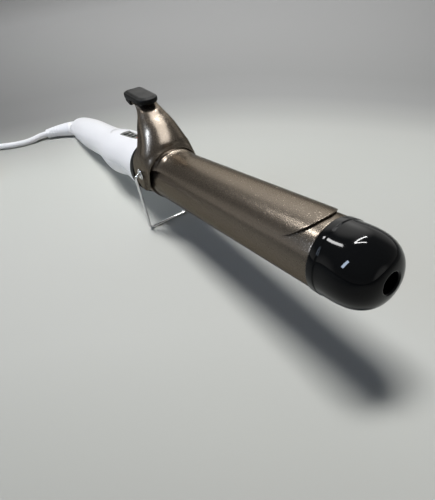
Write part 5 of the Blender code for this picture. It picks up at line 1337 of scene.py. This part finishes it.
behind = mapped(tree, away, TABLE_DIMS_FROM, TABLE_DIMS_TO, -TABLE_DIM_NEAR, -TABLE_DIM,
                interpolation_type="SMOOTHSTEP")
dim = maths(tree, "MULTIPLY_ADD", maths(tree, "POWER", off_middle, 2.0), behind, 1.0)
dim = maths(tree, "SMOOTH_MAX", dim, TABLE_DARKEST, TABLE_DARK_SOFT)
tree.links.new(scaled(tree, shade, dim), tree.nodes["Principled BSDF"].inputs["Base Color"])
table_top = solid("table_top", table_bm, table_matt, UNMOVED)

TIP = LAY @ Vector((0.0, 0.0, 0.0))


def towards(bearing, height):
    """The direction from the tip at a bearing and a height in degrees."""
    turn, lift = math.radians(bearing), math.radians(height)
    return Vector((math.cos(turn) * math.cos(lift), math.sin(turn) * math.cos(lift), math.sin(lift)))


CEILING, WALLS, CARD = 1.55, 1.6, 1.2


def overhead(x, y, height=CEILING):
    """A place over the tip, from how far it leans to each side for its height."""
    return Vector((x, y, 1.0)) * height


WHITE, SKY, PALE_SKY = (1.0, 1.0, 1.0), (0.60, 0.74, 1.0), (0.66, 0.79, 1.0)
# Each lamp's ends, width, radiance and tint, and whether it is mirrored or lights the matt surfaces.
LAMPS = (
    ("ceiling_lamp", overhead(-0.26, -0.34), overhead(-0.10, -0.03), 0.24, 63.0, WHITE, False),
    ("long_tube", overhead(-0.484, 0.060), overhead(-0.500, 0.750), 0.05, 90.0, WHITE, True),
    ("short_tube", overhead(-0.484, 0.060), overhead(-0.230, 0.400), 0.05, 90.0, WHITE, True),
    ("wall_lamp", towards(-161, 41) * WALLS, towards(-157, 51) * WALLS, 0.17, 38.0, WHITE, True),
    ("side_window", towards(-104, 22) * WALLS, towards(-104, 44) * WALLS, 0.15, 42.0, PALE_SKY, True),
    ("lever_card", overhead(-0.50, 0.35, CARD), overhead(1.30, 0.10, CARD), 1.15, 4.8, WHITE, True),
    ("side_light", towards(-104, 22) * WALLS, towards(-104, 46) * WALLS, 0.40, 4.2, SKY, False),
)
ROOM_FILL = 0.04
BACKDROP = 0.35
# The room's glow over the sine of the height, as the paint and the plastic mirror it: pale walls low down,
# then dark. The bright places are a bearing and height, the cosines where they start and are full, and a level.
ROOM_GLOW = ((0.0, 0.24), (0.08, 0.22), (0.20, 0.17), (0.40, 0.18), (0.70, 0.20), (1.0, 0.20))
BRIGHT_PLACES = ((146, 28, 0.84, 0.975, 1.45), (-137, -9, 0.85, 0.98, 0.65), (15, 0, 0.93, 0.99, 0.7),
                 (108, 4, 0.80, 0.97, 0.45))

for name, start, end, width, radiance, tint, mirrored in LAMPS:
    light = bpy.data.lights.new(name, "AREA")
    light.shape = "RECTANGLE"
    light.size, light.size_y = (end - start).length, width
    light.energy = radiance * math.pi * light.size * light.size_y
    light.color = tint
    lamp = bpy.data.objects.new(name, light)
    back = (start + end).normalized()
    side = (end - start - back * back.dot(end - start)).normalized()
    turn = Matrix((side, back.cross(side), back)).transposed().to_4x4()
    lamp.matrix_world = Matrix.Translation(TIP + (start + end) / 2) @ turn
    lamp.visible_diffuse, lamp.visible_glossy = not mirrored, mirrored
    bpy.context.scene.collection.objects.link(lamp)
    if name == "lever_card":
        lit_by_card = bpy.data.collections.new("lit by the card")
        lit_by_card.objects.link(clip)
        lamp.light_linking.receiver_collection = lit_by_card

room = bpy.data.worlds.new("room")
bpy.context.scene.world = room
room.use_nodes = True
tree = room.node_tree
direction = joined(tree, "ShaderNodeTexCoord").outputs["Generated"]
sine = joined(tree, "ShaderNodeSeparateXYZ", ((0, direction),)).outputs[2]
glow = shades(tree, sine, [(place, *[level] * 3) for place, level in ROOM_GLOW])
for bearing, lift, start, full, strength in BRIGHT_PLACES:
    facing = vector_maths(tree, "DOT_PRODUCT", direction, towards(bearing, lift))[1]
    patch = mapped(tree, facing, start, full, 0.0, strength, interpolation_type="SMOOTHSTEP")
    glow = maths(tree, "ADD", glow, patch)
rays = joined(tree, "ShaderNodeLightPath").outputs
unmirrored = maths(tree, "MULTIPLY_ADD", rays["Is Camera Ray"], BACKDROP, ROOM_FILL)
brightness = maths(tree, "MULTIPLY_ADD", glow, rays["Is Glossy Ray"], unmirrored)
background = tree.nodes["Background"].inputs
tree.links.new(brightness, background["Strength"])
background["Color"].default_value = (1.0, 0.99, 0.96, 1.0)

scene = bpy.context.scene
scene.view_settings.view_transform = "Standard"
